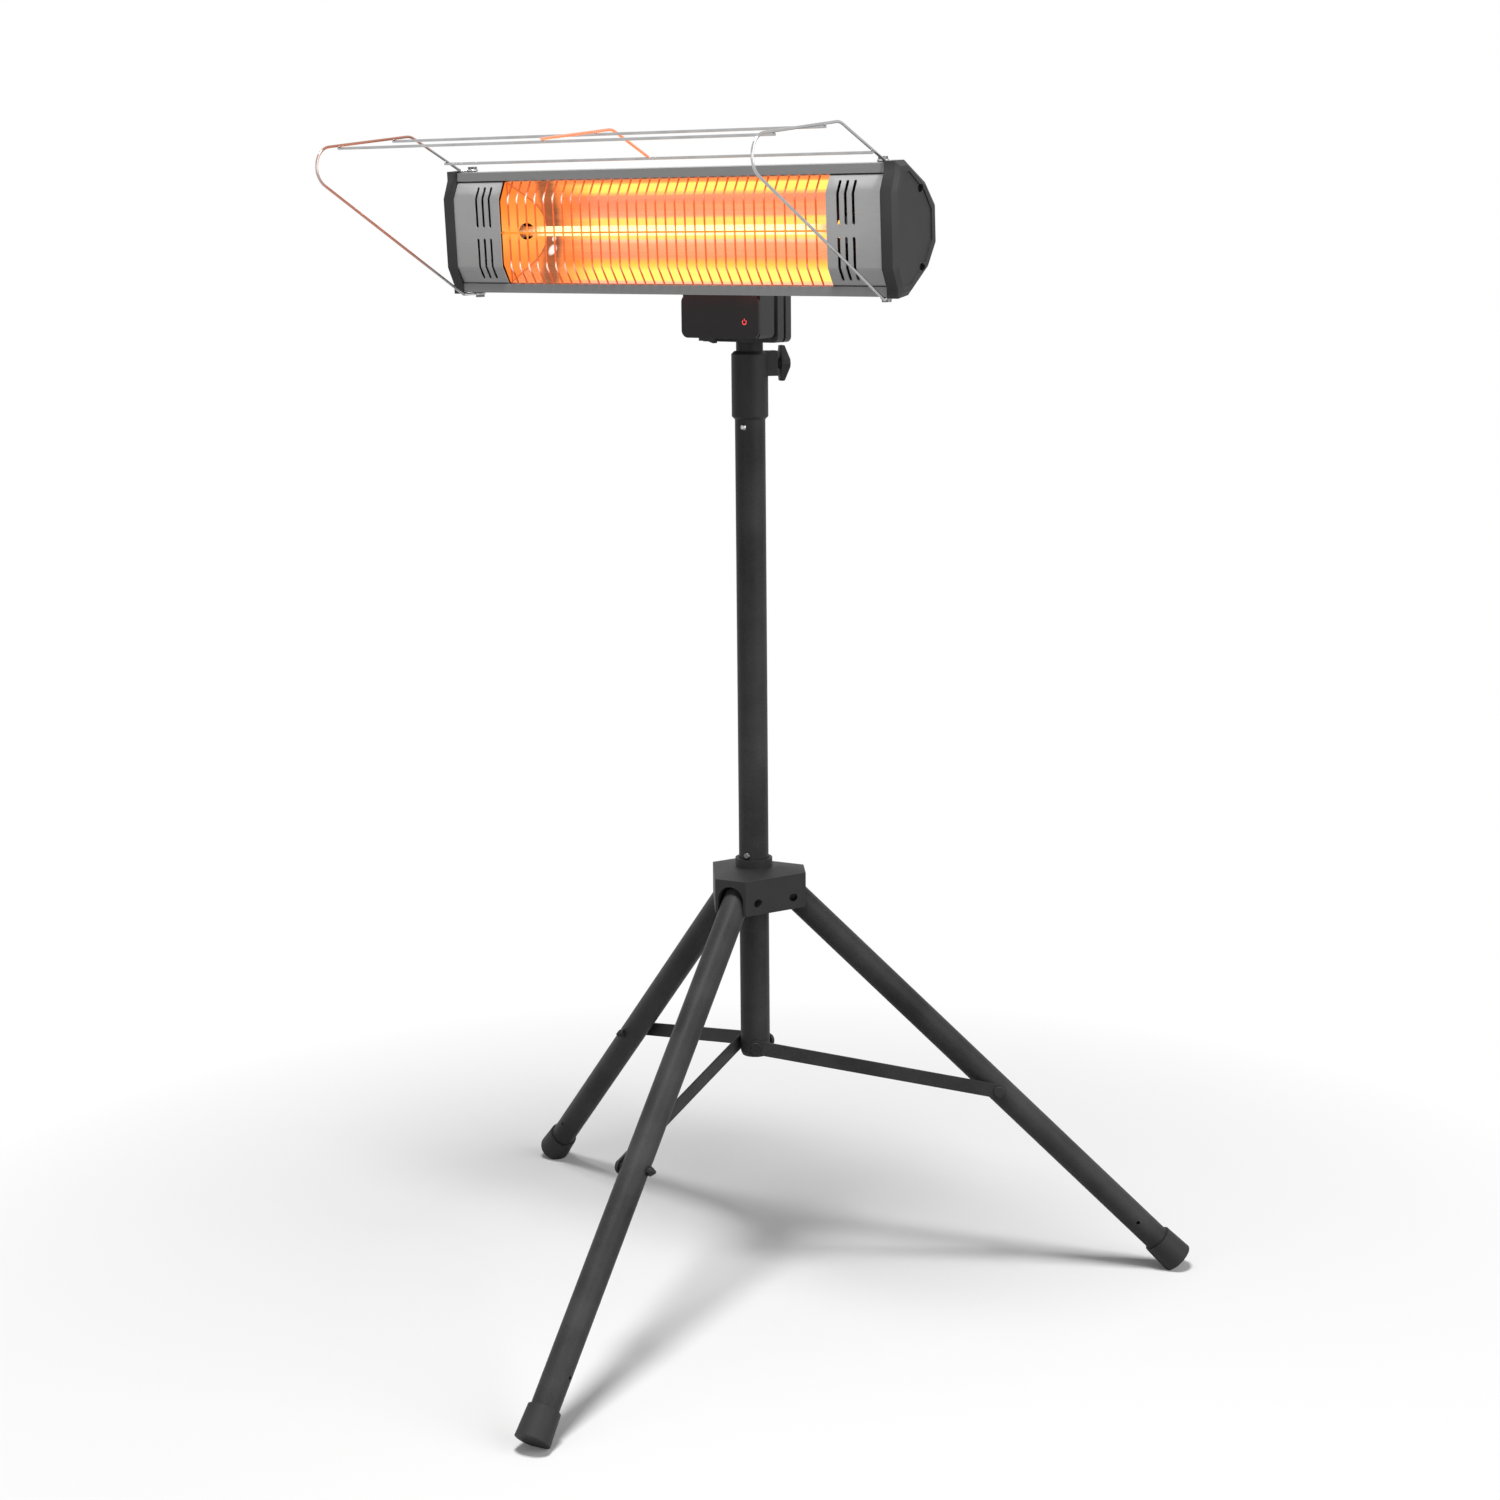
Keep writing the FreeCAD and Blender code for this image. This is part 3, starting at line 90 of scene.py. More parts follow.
# %% A socket with operators, and a tree that makes nodes
class Wire:
    """An output socket whose maths is written with Python's operators."""

    def __init__(self, shading, socket):
        self.shading = shading
        self.socket = socket

    def maths(self, operation, first, second):
        return self.shading.node("ShaderNodeMath", {"operation": operation}, {0: first, 1: second})

    def __add__(self, other):
        return self.maths("ADD", self, other)

    def __sub__(self, other):
        return self.maths("SUBTRACT", self, other)

    def __rsub__(self, other):
        return self.maths("SUBTRACT", other, self)

    def __mul__(self, other):
        return self.maths("MULTIPLY", self, other)

    def __pow__(self, other):
        return self.maths("POWER", self, other)

    def __lt__(self, other):
        return self.maths("LESS_THAN", self, other)

    def __gt__(self, other):
        return self.maths("GREATER_THAN", self, other)

    def __abs__(self):
        return self.maths("ABSOLUTE", self, 0.0)

    __radd__ = __add__
    __rmul__ = __mul__


class Shading:
    """A node tree and the method that makes its nodes."""

    def __init__(self, tree):
        self.tree = tree

    def node(self, kind, settings=None, inputs=None, output=0):
        made = self.tree.nodes.new(kind)
        for key, value in (settings or {}).items():
            if key == "stops":
                self.set_stops(made.color_ramp, value)
            else:
                setattr(made, key, value)
        for key, value in (inputs or {}).items():
            self.connect(made.inputs[key], value)
        return Wire(self, made.outputs[output])

    def connect(self, socket, value):
        if isinstance(value, Wire):
            self.tree.links.new(value.socket, socket)
        else:
            socket.default_value = value

    def set_stops(self, ramp, stops):
        while len(ramp.elements) < len(stops):
            ramp.elements.new(1.0)
        for element, (position, colour) in zip(ramp.elements, stops):
            element.position = position
            element.color = (*colour, 1.0)

    def surface(self, kind, shader):
        """Send a shader to the tree's output node."""
        self.connect(self.tree.nodes[kind].inputs["Surface"], shader)


print("operators", [name for name in vars(Wire) if name.startswith("__r")])


# %% A material round its Principled shader
class Paint(Shading):
    """A material. Constants go straight to the shader's sockets."""

    def __init__(self, name, **constants):
        self.material = bpy.data.materials.new(name)
        self.material.use_nodes = True
        super().__init__(self.material.node_tree)
        self.shader = self.tree.nodes["Principled BSDF"]
        for socket, value in constants.items():
            self.shader.inputs[socket.replace("_", " ")].default_value = value

    def place(self, scale=(1, 1, 1)):
        """Object coordinates, stretched where the scales differ."""
        where = self.node("ShaderNodeTexCoord", output="Object")
        return self.node("ShaderNodeMapping", None, {"Vector": where, "Scale": scale})

    def noise(self, where, scale, detail=2.0):
        return self.node("ShaderNodeTexNoise", None, {"Vector": where, "Scale": scale, "Detail": detail})

    def ramp(self, factor, stops):
        return self.node("ShaderNodeValToRGB", {"stops": stops}, {"Fac": factor})

    def mix(self, factor, first, second):
        """The first colour, turning into the second as the factor goes from 0 to 1."""
        first, second = (colour if isinstance(colour, Wire) else (*colour, 1.0)
                         for colour in (first, second))
        return self.node("ShaderNodeMix", {"data_type": "RGBA"}, {0: factor, 6: first, 7: second}, 2)

    def feed(self, socket, value):
        self.connect(self.shader.inputs[socket], value)

    def bump(self, height, depth):
        """Relief of a real depth, in metres."""
        self.feed("Normal", self.node("ShaderNodeBump", None, {"Height": height, "Distance": depth}))


def grey(level):
    return (level, level, level)


black, white = grey(0.0), grey(1.0)
print("steps of a paint", [name for name in vars(Paint) if not name.startswith("_")])


# %% [markdown]
# ## Painted tubes and moulded plastics
# Powder coat melts into a skin with a fine orange-peel ripple, and moulded plastic copies the spark
# eroded grain of its mould. Both are a dark tone with a slow cloud of shade, a speckle of a fraction
# of a millimetre and a matching relief. One function makes them all, with the grain's size as a value.

# %% A grained finish, and the slots that use it
cloud_scale = 14.0
speckles_per_grain = 3.3


def grained(name, dark, light, grain_mm, depth_mm, rough, spread, **constants):
    paint = Paint(name, **constants)
    where = paint.place()
    cloud = paint.noise(where, cloud_scale, 3.0)
    coarse = paint.noise(where, 1 / (grain_mm * MM), 2.0)
    fine = paint.noise(where, speckles_per_grain / (grain_mm * MM), 1.0)
    tone = 0.45 * cloud + 0.25 * coarse + 0.3 * fine
    paint.feed("Base Color", paint.ramp(tone, [(0.38, dark), (0.62, light)]))
    paint.feed("Roughness", rough + spread * (coarse - 0.5) + spread * (cloud - 0.5))
    paint.bump(0.6 * coarse + 0.4 * fine, depth_mm * MM)
    return paint.material


finishes = {
    "charcoal_paint": grained("charcoal_powder_coat", grey(0.016), grey(0.058), grain_mm=0.9, depth_mm=0.09,
                              rough=0.50, spread=0.20, Specular_IOR_Level=0.12),
    "hub_plastic": grained("hub_moulding", grey(0.015), grey(0.032), grain_mm=0.6, depth_mm=0.06,
                           rough=0.55, spread=0.12, Specular_IOR_Level=0.20),
    "box_plastic": grained("box_moulding", grey(0.018), grey(0.030), grain_mm=0.5, depth_mm=0.04,
                           rough=0.45, spread=0.12, Specular_IOR_Level=0.30),
    "cap_plastic": grained("cap_moulding", grey(0.030), grey(0.048), grain_mm=0.7, depth_mm=0.08,
                           rough=0.55, spread=0.14, Specular_IOR_Level=0.22),
    "foot_rubber": grained("foot_rubber", grey(0.018), grey(0.030), grain_mm=0.5, depth_mm=0.05,
                           rough=0.62, spread=0.12, Specular_IOR_Level=0.25),
    "black_steel": grained("black_steel", grey(0.006), grey(0.012), grain_mm=0.4, depth_mm=0.02,
                           rough=0.38, spread=0.12, Specular_IOR_Level=0.25),
    "inner_plastic": grained("cream_moulding", (0.62, 0.59, 0.52), (0.72, 0.69, 0.62), grain_mm=0.6,
                             depth_mm=0.04, rough=0.5, spread=0.1),
    "white_ceramic": grained("lamp_ceramic", (0.74, 0.71, 0.66), (0.86, 0.84, 0.80), grain_mm=0.4,
                             depth_mm=0.05, rough=0.6, spread=0.12),
    "board_green": grained("circuit_board", (0.012, 0.10, 0.035), (0.02, 0.15, 0.06), grain_mm=1.4,
                           depth_mm=0.03, rough=0.35, spread=0.1),
}
print("grained finishes", len(finishes))


# %% [markdown]
# ## Places seen from the lamp
# The trough behind the lamp, its end plates and the grille in front all glow by how they lie to the lamp.
# So one helper gives a point's place as seen from it: how far along the lamp, how far behind it and how
# far above it, leaned back like the heater. The Mapping node's texture type does both steps at once.

# %% Measure from the lamp
def middle(node):
    low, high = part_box(node)
    return (Vector(low) + Vector(high)) / 2


lamp_axis = middle("lamp_tube")
heater_lean = math.radians(2.9)


class FromLamp:
    """A point's place seen from the lamp: along, behind and above it."""

    def __init__(self, paint):
        where = paint.node("ShaderNodeTexCoord", output="Object")
        inputs = {"Vector": where, "Location": lamp_axis, "Rotation": (heater_lean, 0.0, 0.0)}
        leaned = paint.node("ShaderNodeMapping", {"vector_type": "TEXTURE"}, inputs)
        split = paint.node("ShaderNodeSeparateXYZ", None, {"Vector": leaned}).socket.node
        self.along, self.behind, self.above = (Wire(paint, socket) for socket in split.outputs)


print("lamp axis at", [round(value, 4) for value in lamp_axis])


# %% [markdown]
# ## Satin metal paint
# The housing is an extrusion and the vent panels are rolled sheet. Both carry a grey metallic satin coat,
# with faint streaks along the rolling direction. Stretching the coordinates along X turns plain noise into
# such streaks. Along the panels' upper and lower edges, where they tuck behind the housing, a dark band of
# painted shade is added.

# %% Housing and vent panel finishes
panel_shade_edge = 50.9 * MM
painted_shade_dark = grey(0.02)


def satin_metal(name, dark, light, rough, joint=None):
    paint = Paint(name, Metallic=0.2)
    streak = paint.noise(paint.place((6.0, 260.0, 260.0)), 6.0, 3.0)
    flake = paint.noise(paint.place(), 2600.0, 1.0)
    cloud = paint.noise(paint.place(), 7.0, 2.0)
    tone = 0.45 * streak + 0.3 * flake + 0.25 * cloud
    colour = paint.ramp(tone, [(0.3, dark), (0.7, light)])
    if joint:
        # painted shade: a dark band along the panels' upper and lower edges, where they tuck behind the
        # housing
        colour = paint.mix(abs(FromLamp(paint).above) > joint, colour, painted_shade_dark)
    paint.feed("Base Color", colour)
    paint.feed("Roughness", rough + 0.12 * (streak - 0.5) + 0.1 * (flake - 0.5))
    paint.bump(0.5 * streak + 0.5 * flake, 0.02 * MM)
    return paint.material


finishes["housing_grey"] = satin_metal("housing_satin_grey", grey(0.205), grey(0.25), rough=0.46)
finishes["vent_grey"] = satin_metal("vent_satin_grey", grey(0.345), grey(0.40), rough=0.48,
                                    joint=panel_shade_edge)
print("satin finishes", "housing_grey", "vent_grey")


# %% [markdown]
# ## Bright metal
# Chromed wire and plated screws are mirrors with a slightly uneven polish: the roughness wanders along the
# wire, and drawing marks leave a relief of a few thousandths of a millimetre. On the rib over the lamp and
# the front of the left loop, the lamp's warm light is a painted reflection in their colour, and the rib
# also gets a painted glow.

# %% Chrome wire and bright steel
guard_reach = 250 * MM
glow_reflection_stretch = [(0.24, black), (0.40, white), (0.86, white), (0.94, black)]


def bright_metal(name, dark, light, rough, spread, warm=None, **constants):
    paint = Paint(name, Metallic=1.0, **constants)
    cloud = paint.noise(paint.place(), 60.0, 3.0)
    scratch = paint.noise(paint.place((40.0, 900.0, 900.0)), 2.0, 2.0)
    colour = paint.ramp(0.6 * cloud + 0.4 * scratch, [(0.3, dark), (0.7, light)])
    if warm:
        # painted reflection: the lamp's warm light tints the wire in front of the lamp
        ahead = FromLamp(paint).behind * (-1 / guard_reach)
        colour = paint.mix(paint.ramp(ahead, glow_reflection_stretch), colour, warm)
    paint.feed("Base Color", colour)
    paint.feed("Roughness", rough + spread * (cloud - 0.4) + spread * (scratch - 0.5))
    paint.bump(scratch, 0.006 * MM)
    return paint.material


finishes["chrome_wire"] = bright_metal("chrome_wire", grey(0.38), grey(0.50), rough=0.14, spread=0.12)
finishes["glow_reflection_wire"] = bright_metal("glow_reflection_wire", grey(0.38), grey(0.50), rough=0.14, spread=0.12,
                                     warm=(0.50, 0.24, 0.18))
# painted reflection and glow: the rib's warm colour and emission stand in for the lamp's light on it
finishes["lit_rib"] = bright_metal("lit_rib", (0.5, 0.28, 0.20), (0.6, 0.36, 0.27), rough=0.2, spread=0.12,
                                   Emission_Color=(0.58, 0.12, 0.05, 1), Emission_Strength=1.0)
finishes["bright_steel"] = bright_metal("bright_steel", grey(0.24), grey(0.36), rough=0.24, spread=0.16)
finishes["dark_steel"] = bright_metal("dark_steel", grey(0.10), grey(0.16), rough=0.30, spread=0.12)
print("bright finishes", "chrome_wire", "glow_reflection_wire", "lit_rib", "bright_steel", "dark_steel")


# %% [markdown]
# ## The control panel and its light
# The panel is a black plastic with a trace of red, and more red towards its upper edge, a painted
# reflection of the heater's glow. A clear coat gives the gloss, and fine dust marks keep it from looking
# like ink.

# %% Gloss panel and red lens
reflected_glow_red = (0.05, 0.006, 0.006)


def gloss_panel(name, dark, light):
    paint = Paint(name, Coat_Weight=0.15, Coat_Roughness=0.1, Specular_IOR_Level=0.2)
    cloud = paint.noise(paint.place(), 30.0, 3.0)
    dust = paint.noise(paint.place(), 3800.0, 1.0)
    low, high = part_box("front_panel")
    where = paint.node("ShaderNodeTexCoord", output="Object")
    height = paint.node("ShaderNodeSeparateXYZ", None, {"Vector": where}, 2)
    rise = (height - low[2]) * (1 / (high[2] - low[2])) + 0.3 * (cloud - 0.5)
    # painted reflection of the heater's glow, redder towards the upper edge
    paint.feed("Base Color", paint.ramp(rise, [(0.2, dark), (0.7, light), (1.0, reflected_glow_red)]))
    paint.feed("Roughness", 0.12 + 0.10 * cloud + 0.10 * (dust > 0.66))
    paint.bump(cloud, 0.02 * MM)
    return paint.material


finishes["panel_gloss"] = gloss_panel("panel_gloss_black", (0.009, 0.005, 0.005), (0.015, 0.007, 0.007))
finishes["red_lens"] = gloss_panel("power_lens", (0.016, 0.006, 0.006), (0.03, 0.008, 0.008))
print("gloss finishes", "panel_gloss", "red_lens")


# %% [markdown]
# ## The face that looks at the lamp
# The trough is a thin bent sheet, polished inside and dull outside. Its section is two straight flanks and
# a bowed back, so a few comparisons with those lines tell the inside from the outside, and the slanted end
# plates close it. Only what looks at the lamp may glow, or light would leak out of the vent slots.

# %% Inside or outside of the trough
mouth_half, mouth_ahead = 51 * MM, 19 * MM
knee_half, knee_behind, back_behind = 31 * MM, 8 * MM, 23 * MM
half_sheet = 0.4 * MM
trough_half = (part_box("reflector")[1][0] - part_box("reflector")[0][0]) / 2
flank_slope = (mouth_half - knee_half) / (mouth_ahead + knee_behind)
end_slope = math.tan(math.radians(21))
bow = back_behind - knee_behind
back_radius = (knee_half ** 2 + bow ** 2) / (2 * bow)


def in_section(spot, margin):
    """1 within the section of the trough, grown by a margin, 0 outside it."""
    flanks = abs(spot.above) + flank_slope * (spot.behind + mouth_ahead) < mouth_half + margin
    from_centre = (spot.behind + (back_radius - back_behind)) ** 2 + spot.above ** 2
    bowed = from_centre < (back_radius + margin) ** 2
    return flanks * (bowed + (spot.behind < knee_behind) > 0.5)


def faces_lamp(spot):
    """1 on the faces of the trough and its ends that look at the lamp, 0 on their backs."""
    upright = abs(spot.along) < trough_half - half_sheet
    slanted = abs(spot.along) + end_slope * (spot.behind + mouth_ahead) < trough_half - half_sheet
    return upright * slanted * in_section(spot, half_sheet)


print("trough half length", round(trough_half, 4), "m, radius of its back", round(back_radius, 4), "m")


# %% [markdown]
# ## The glowing trough
# Polished metal repeats the hot coil as bands: yellow along its two mouths, salmon between them, painted
# shade in dark red at the upper lip, deep orange towards the ends, where a rolled corner shows a dark
# column with two white highlights, which rakes towards the middle along the flanks. On the real one these
# are reflections and shade. Here they are painted on the trough, as an emission colour that follows the
# height and the distance to its end.

# %% Reflector finish
salmon = (1.0, 0.225, 0.125)
blush = (1.0, 0.42, 0.29)
band_yellow = (1.0, 0.84, 0.12)
band_orange = (1.0, 0.56, 0.05)
lamp_halo = (1.0, 0.62, 0.08)
deep_orange = (1.0, 0.16, 0.012)
dull_orange = (0.72, 0.19, 0.05)
lip_shade_red = (0.36, 0.06, 0.02)
shade_brown = (0.16, 0.06, 0.035)
highlight_white = (0.95, 0.90, 0.86)
column_rake = 0.69
corner_reach = 100 * MM
corner_highlights = ((-177 * MM, -20 * MM, 6.0 * MM), (-178 * MM, -9 * MM, 3.2 * MM))


def mirror(paint, ripple, rough):
    """What the polished sheet is where it doesn't glow."""
    paint.feed("Base Color", paint.ramp(ripple, [(0.3, (0.20, 0.14, 0.11)), (0.7, (0.28, 0.20, 0.16))]))
    paint.feed("Roughness", rough + 0.14 * ripple)
    paint.bump(ripple, 0.1 * MM)
    return paint.material


def trough_bands(paint, spot, ripple):
    """Painted reflection bands across the trough, from its lower mouth to its upper one, ending in painted
    shade at the upper lip.
    """
    across = spot.above * (0.5 / mouth_half) + 0.5 + 0.03 * (ripple - 0.5)
    # painted reflections of the coil as bands, and painted shade at the upper lip
    return paint.ramp(across, [
        (0.01, blush), (0.04, band_yellow), (0.11, band_yellow), (0.17, band_orange), (0.24, salmon),
        (0.36, salmon), (0.39, blush), (0.42, lamp_halo), (0.60, lamp_halo), (0.63, salmon),
        (0.83, salmon), (0.88, band_yellow), (0.945, band_yellow), (0.97, deep_orange), (1.0, lip_shade_red)])


def corner_reflection(paint, spot, from_end):
    """The painted dark reflection at the trough's left end, a column with two painted white highlights."""
    corner = paint.ramp(from_end, [(0.09, dull_orange), (0.15, shade_brown), (0.30, shade_brown),
                                   (0.37, dull_orange), (0.52, deep_orange)])
    # painted highlights: two white spots on the dark reflected column
    for along, above, size in corner_highlights:
        painted_highlight = ((spot.along - along) ** 2 + (spot.above - above) ** 2) * (1 / size ** 2)
        corner = paint.mix(paint.ramp(painted_highlight, [(0.35, white), (1.0, black)]), corner, highlight_white)
    return corner


def glowing_trough():
    paint = Paint("mirror_trough", Metallic=1.0, Emission_Strength=1.0)
    spot = FromLamp(paint)
    ripple = paint.noise(paint.place((3.0, 60.0, 60.0)), 3.0, 3.0)
    raked = spot.along + column_rake * (spot.behind - back_behind)
    from_end = (raked + trough_half) * (1 / corner_reach) + 0.06 * (ripple - 0.5)
    lit = paint.ramp(from_end, [(0.38, black), (0.56, grey(0.28)), (0.88, white)])
    colours = paint.mix(lit, corner_reflection(paint, spot, from_end), trough_bands(paint, spot, ripple))
    # painted glow: emission stands in for the lamp's light on the trough's inside
    paint.feed("Emission Color", paint.mix(faces_lamp(spot), black, colours))
    return mirror(paint, ripple, rough=0.20)


fold_half, edge_width = 0.9 * MM, 1.3 * MM
edge_shade_red = (0.42, 0.04, 0.004)
plate_glow = [(0.1, (1.0, 0.34, 0.05)), (0.5, (1.0, 0.24, 0.025)), (0.95, (0.95, 0.17, 0.015))]


def glowing_ends():
    """Slanted end plates: a painted orange glow on the face towards the lamp, with painted shade as dark
    lines along their fold and edges.
    """
    paint = Paint("mirror_ends", Metallic=1.0, Emission_Strength=1.0)
    spot = FromLamp(paint)
    ripple = paint.noise(paint.place((40.0, 40.0, 3.0)), 3.0, 3.0)
    level = abs(spot.above) * (1 / mouth_half) + 0.2 * (ripple - 0.5)
    # painted shade: dark lines along the fold at the mouth and along the plate's edges
    shaded_fold = abs(spot.behind + mouth_ahead) < fold_half
    edge = shaded_fold + (1 - in_section(spot, -edge_width)) > 0.5
    warm = paint.mix(edge, paint.ramp(level, plate_glow), edge_shade_red)
    # painted glow: emission stands in for the lamp's light on the plate's inner face
    paint.feed("Emission Color", paint.mix(faces_lamp(spot), black, warm))
    return mirror(paint, ripple, rough=0.24)


finishes["mirror_sheet"] = glowing_trough()
finishes["end_plates"] = glowing_ends()
print("trough finishes", "mirror_sheet", "end_plates")


# %% [markdown]
# ## Grille, coil and quartz
# The grille's wires stand before the light, so they show as dark warm lines with a painted glow, brighter
# where they cross the lamp, and a painted highlight at the bends of those near the left end. The coil is
# nearly white. The quartz tube round it is clear, with a haze that glows, and at its ends it turns dark,
# where the coil stops.

# %% Grille, coil and quartz finishes
def grille_wire():
    paint = Paint("grille_wire", Metallic=1.0, Emission_Strength=1.0)
    spot = FromLamp(paint)
    cloud = paint.noise(paint.place(), 60.0, 3.0)
    level = abs(spot.above) * (1 / mouth_half) + 0.08 * (cloud - 0.5)
    brown, plain, painted_highlight = (0.40, 0.10, 0.035), (0.45, 0.24, 0.18), (0.9, 0.8, 0.75)
    warm, dim, before_lamp = (0.34, 0.05, 0.012), (0.1, 0.012, 0.003), (0.72, 0.24, 0.02)
    # painted highlight at the bends of the wires near the left end
    bend = paint.ramp(level, [(0.55, black), (0.65, white), (0.71, white), (0.8, black)])
    near_left = paint.ramp(spot.along * (0.5 / trough_half) + 0.5, [(0.16, white), (0.26, black)])
    paint.feed("Base Color", paint.mix(bend, brown, paint.mix(near_left, plain, painted_highlight)))
    # painted glow: emission stands in for the lamp's light on the wires, brighter where they cross it
    warmth = paint.ramp(abs(spot.along) * (1 / trough_half), [(0.86, warm), (1.0, dim)])
    over_lamp = paint.ramp(level, [(0.08, white), (0.16, black)])
    paint.feed("Emission Color", paint.mix(over_lamp, warmth, before_lamp))
    paint.feed("Roughness", 0.16 + 0.12 * cloud)
    paint.bump(cloud, 0.01 * MM)
    return paint.material


def hot_coil():
    paint = Paint("hot_coil", Base_Color=(0.9, 0.6, 0.3, 1), Roughness=0.6, Emission_Strength=1.4)
    flicker = paint.noise(paint.place(), 420.0, 2.0)
    paint.feed("Emission Color", paint.ramp(flicker, [(0.35, (1.0, 0.97, 0.62)), (0.65, (1.0, 1.0, 0.85))]))
    return paint.material


def lit_quartz():
    paint = Paint("lit_quartz", Base_Color=(0.9, 0.6, 0.3, 1), Roughness=0.05, Emission_Strength=1.0,
                  IOR=1.45)
    cold_end = (0.10, 0.012, 0.004)
    haze = paint.noise(paint.place((30.0, 300.0, 300.0)), 3.0, 2.0)
    hot = paint.ramp(haze, [(0.3, (1.0, 0.92, 0.36)), (0.7, (1.0, 1.0, 0.78))])
    end = paint.ramp(abs(FromLamp(paint).along) * (1 / trough_half), [(0.80, black), (0.93, white)])
    paint.feed("Emission Color", paint.mix(end, hot, cold_end))
    paint.feed("Alpha", 0.44 + 0.30 * haze)
    return paint.material


finishes["grille"] = grille_wire()
finishes["hot_wire"] = hot_coil()
finishes["quartz"] = lit_quartz()
print("lamp finishes", "grille", "hot_wire", "quartz")


# %% [markdown]
# ## Pieces that take over from nodes
# A solid from the workshop has knife-sharp edges, and no moulded or bent thing has those: a thin bright
# line along an edge is what makes it look real. A copy of the node's mesh is merged, its flat triangles
# are joined, and every edge that turns sharply is bevelled by the radius that its maker would give it.
# A few nodes don't wear the finish of their slot, so own_finish names theirs.

# %% Round the edges of a node
own_finish = {
    "reflector_ends": "end_plates", "front_grille": "grille",
    "guard_rib": "lit_rib", "guard_loop_left": "glow_reflection_wire", "guard_screws": "dark_steel",
    "lock_button": "dark_steel", "mast_brace_pins": "black_steel",
    "leg_bolt_a": "black_steel", "leg_bolt_b": "black_steel", "leg_bolt_c": "black_steel",
}


def add_piece(name, mesh, body, slot, replaced=(), finish=None):
    piece = bpy.data.objects.new(name, mesh)
    bpy.context.collection.objects.link(piece)
    mesh.materials.clear()
    mesh.materials.append(finishes[finish or slot])
    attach(piece, body)
    if replaced:
        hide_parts(*replaced)
    return piece


def mesh_from(bm, name, smooth_angle=35.0):
    for face in bm.faces:
        face.smooth = True
    mesh = bpy.data.meshes.new(name)
    bm.to_mesh(mesh)
    bm.free()
    mesh.set_sharp_from_angle(angle=math.radians(smooth_angle))
    return mesh


merge_distance = 0.002 * MM
flat_turn, sharp_turn = math.radians(0.5), math.radians(28.0)


def rounded_copy(node, radius_mm, smooth_angle):
    bm = bmesh.new()
    bm.from_mesh(frame["nodes"][node].data)
    bmesh.ops.remove_doubles(bm, verts=bm.verts, dist=merge_distance)
    bmesh.ops.dissolve_limit(bm, angle_limit=flat_turn, verts=bm.verts, edges=bm.edges)
    edges = [edge for edge in bm.edges if edge.is_manifold and edge.calc_face_angle() > sharp_turn]
    bmesh.ops.bevel(bm, geom=edges, offset=radius_mm * MM, offset_type="OFFSET", segments=2, profile=0.5,
                    affect="EDGES", material=-1, clamp_overlap=True)
    name = node + "_finish"
    mesh = mesh_from(bm, name, smooth_angle)
    piece = add_piece(name, mesh, body_of[node], slot_of[node], (node,), own_finish.get(node))
    piece.modifiers.new("flat_faces", "WEIGHTED_NORMAL").keep_sharp = True


edge_radii_mm = {
    "hub": 1.5, "clamp_sleeve": 0.7, "clamp_knob": 1.2, "control_box": 0.9, "front_panel": 0.6,
    "box_rib": 0.8, "pole_socket": 0.8, "end_cap_left": 0.9, "end_cap_right": 0.9,
    "foot_a": 1.2, "foot_b": 1.2, "foot_c": 1.2, "housing": 0.4,
    "vent_panel_left": 0.25, "vent_panel_right": 0.25, "mast_tube": 0.3, "inner_tube": 0.3,
    "leg_a": 0.3, "leg_b": 0.3, "leg_c": 0.3, "brace_a": 0.5, "brace_b": 0.5, "brace_c": 0.5,
    "mast_plug": 1.2, "mast_brace_pins": 0.5, "leg_bolt_a": 0.4, "leg_bolt_b": 0.4, "leg_bolt_c": 0.4,
    "lock_button": 0.5, "cable_gland": 0.8, "rocker_bezel": 0.4, "rocker": 0.4,
    "tilt_yoke": 0.5, "hinge_ears": 0.5, "yoke_bolt": 0.4, "tilt_bolt": 0.4, "tilt_nut": 0.4,
}
for node, radius_mm in edge_radii_mm.items():
    rounded_copy(node, radius_mm, smooth_angle=20.0 if node.startswith("vent_panel") else 35.0)
print("rounded nodes", len(edge_radii_mm))


# %% [markdown]
# ## The coil in the lamp
# The heating wire is wound into a long open coil. Bending a curve would do, but a spin with a step along
# its axis is a screw, and makes the whole winding from one small ring of vertices.

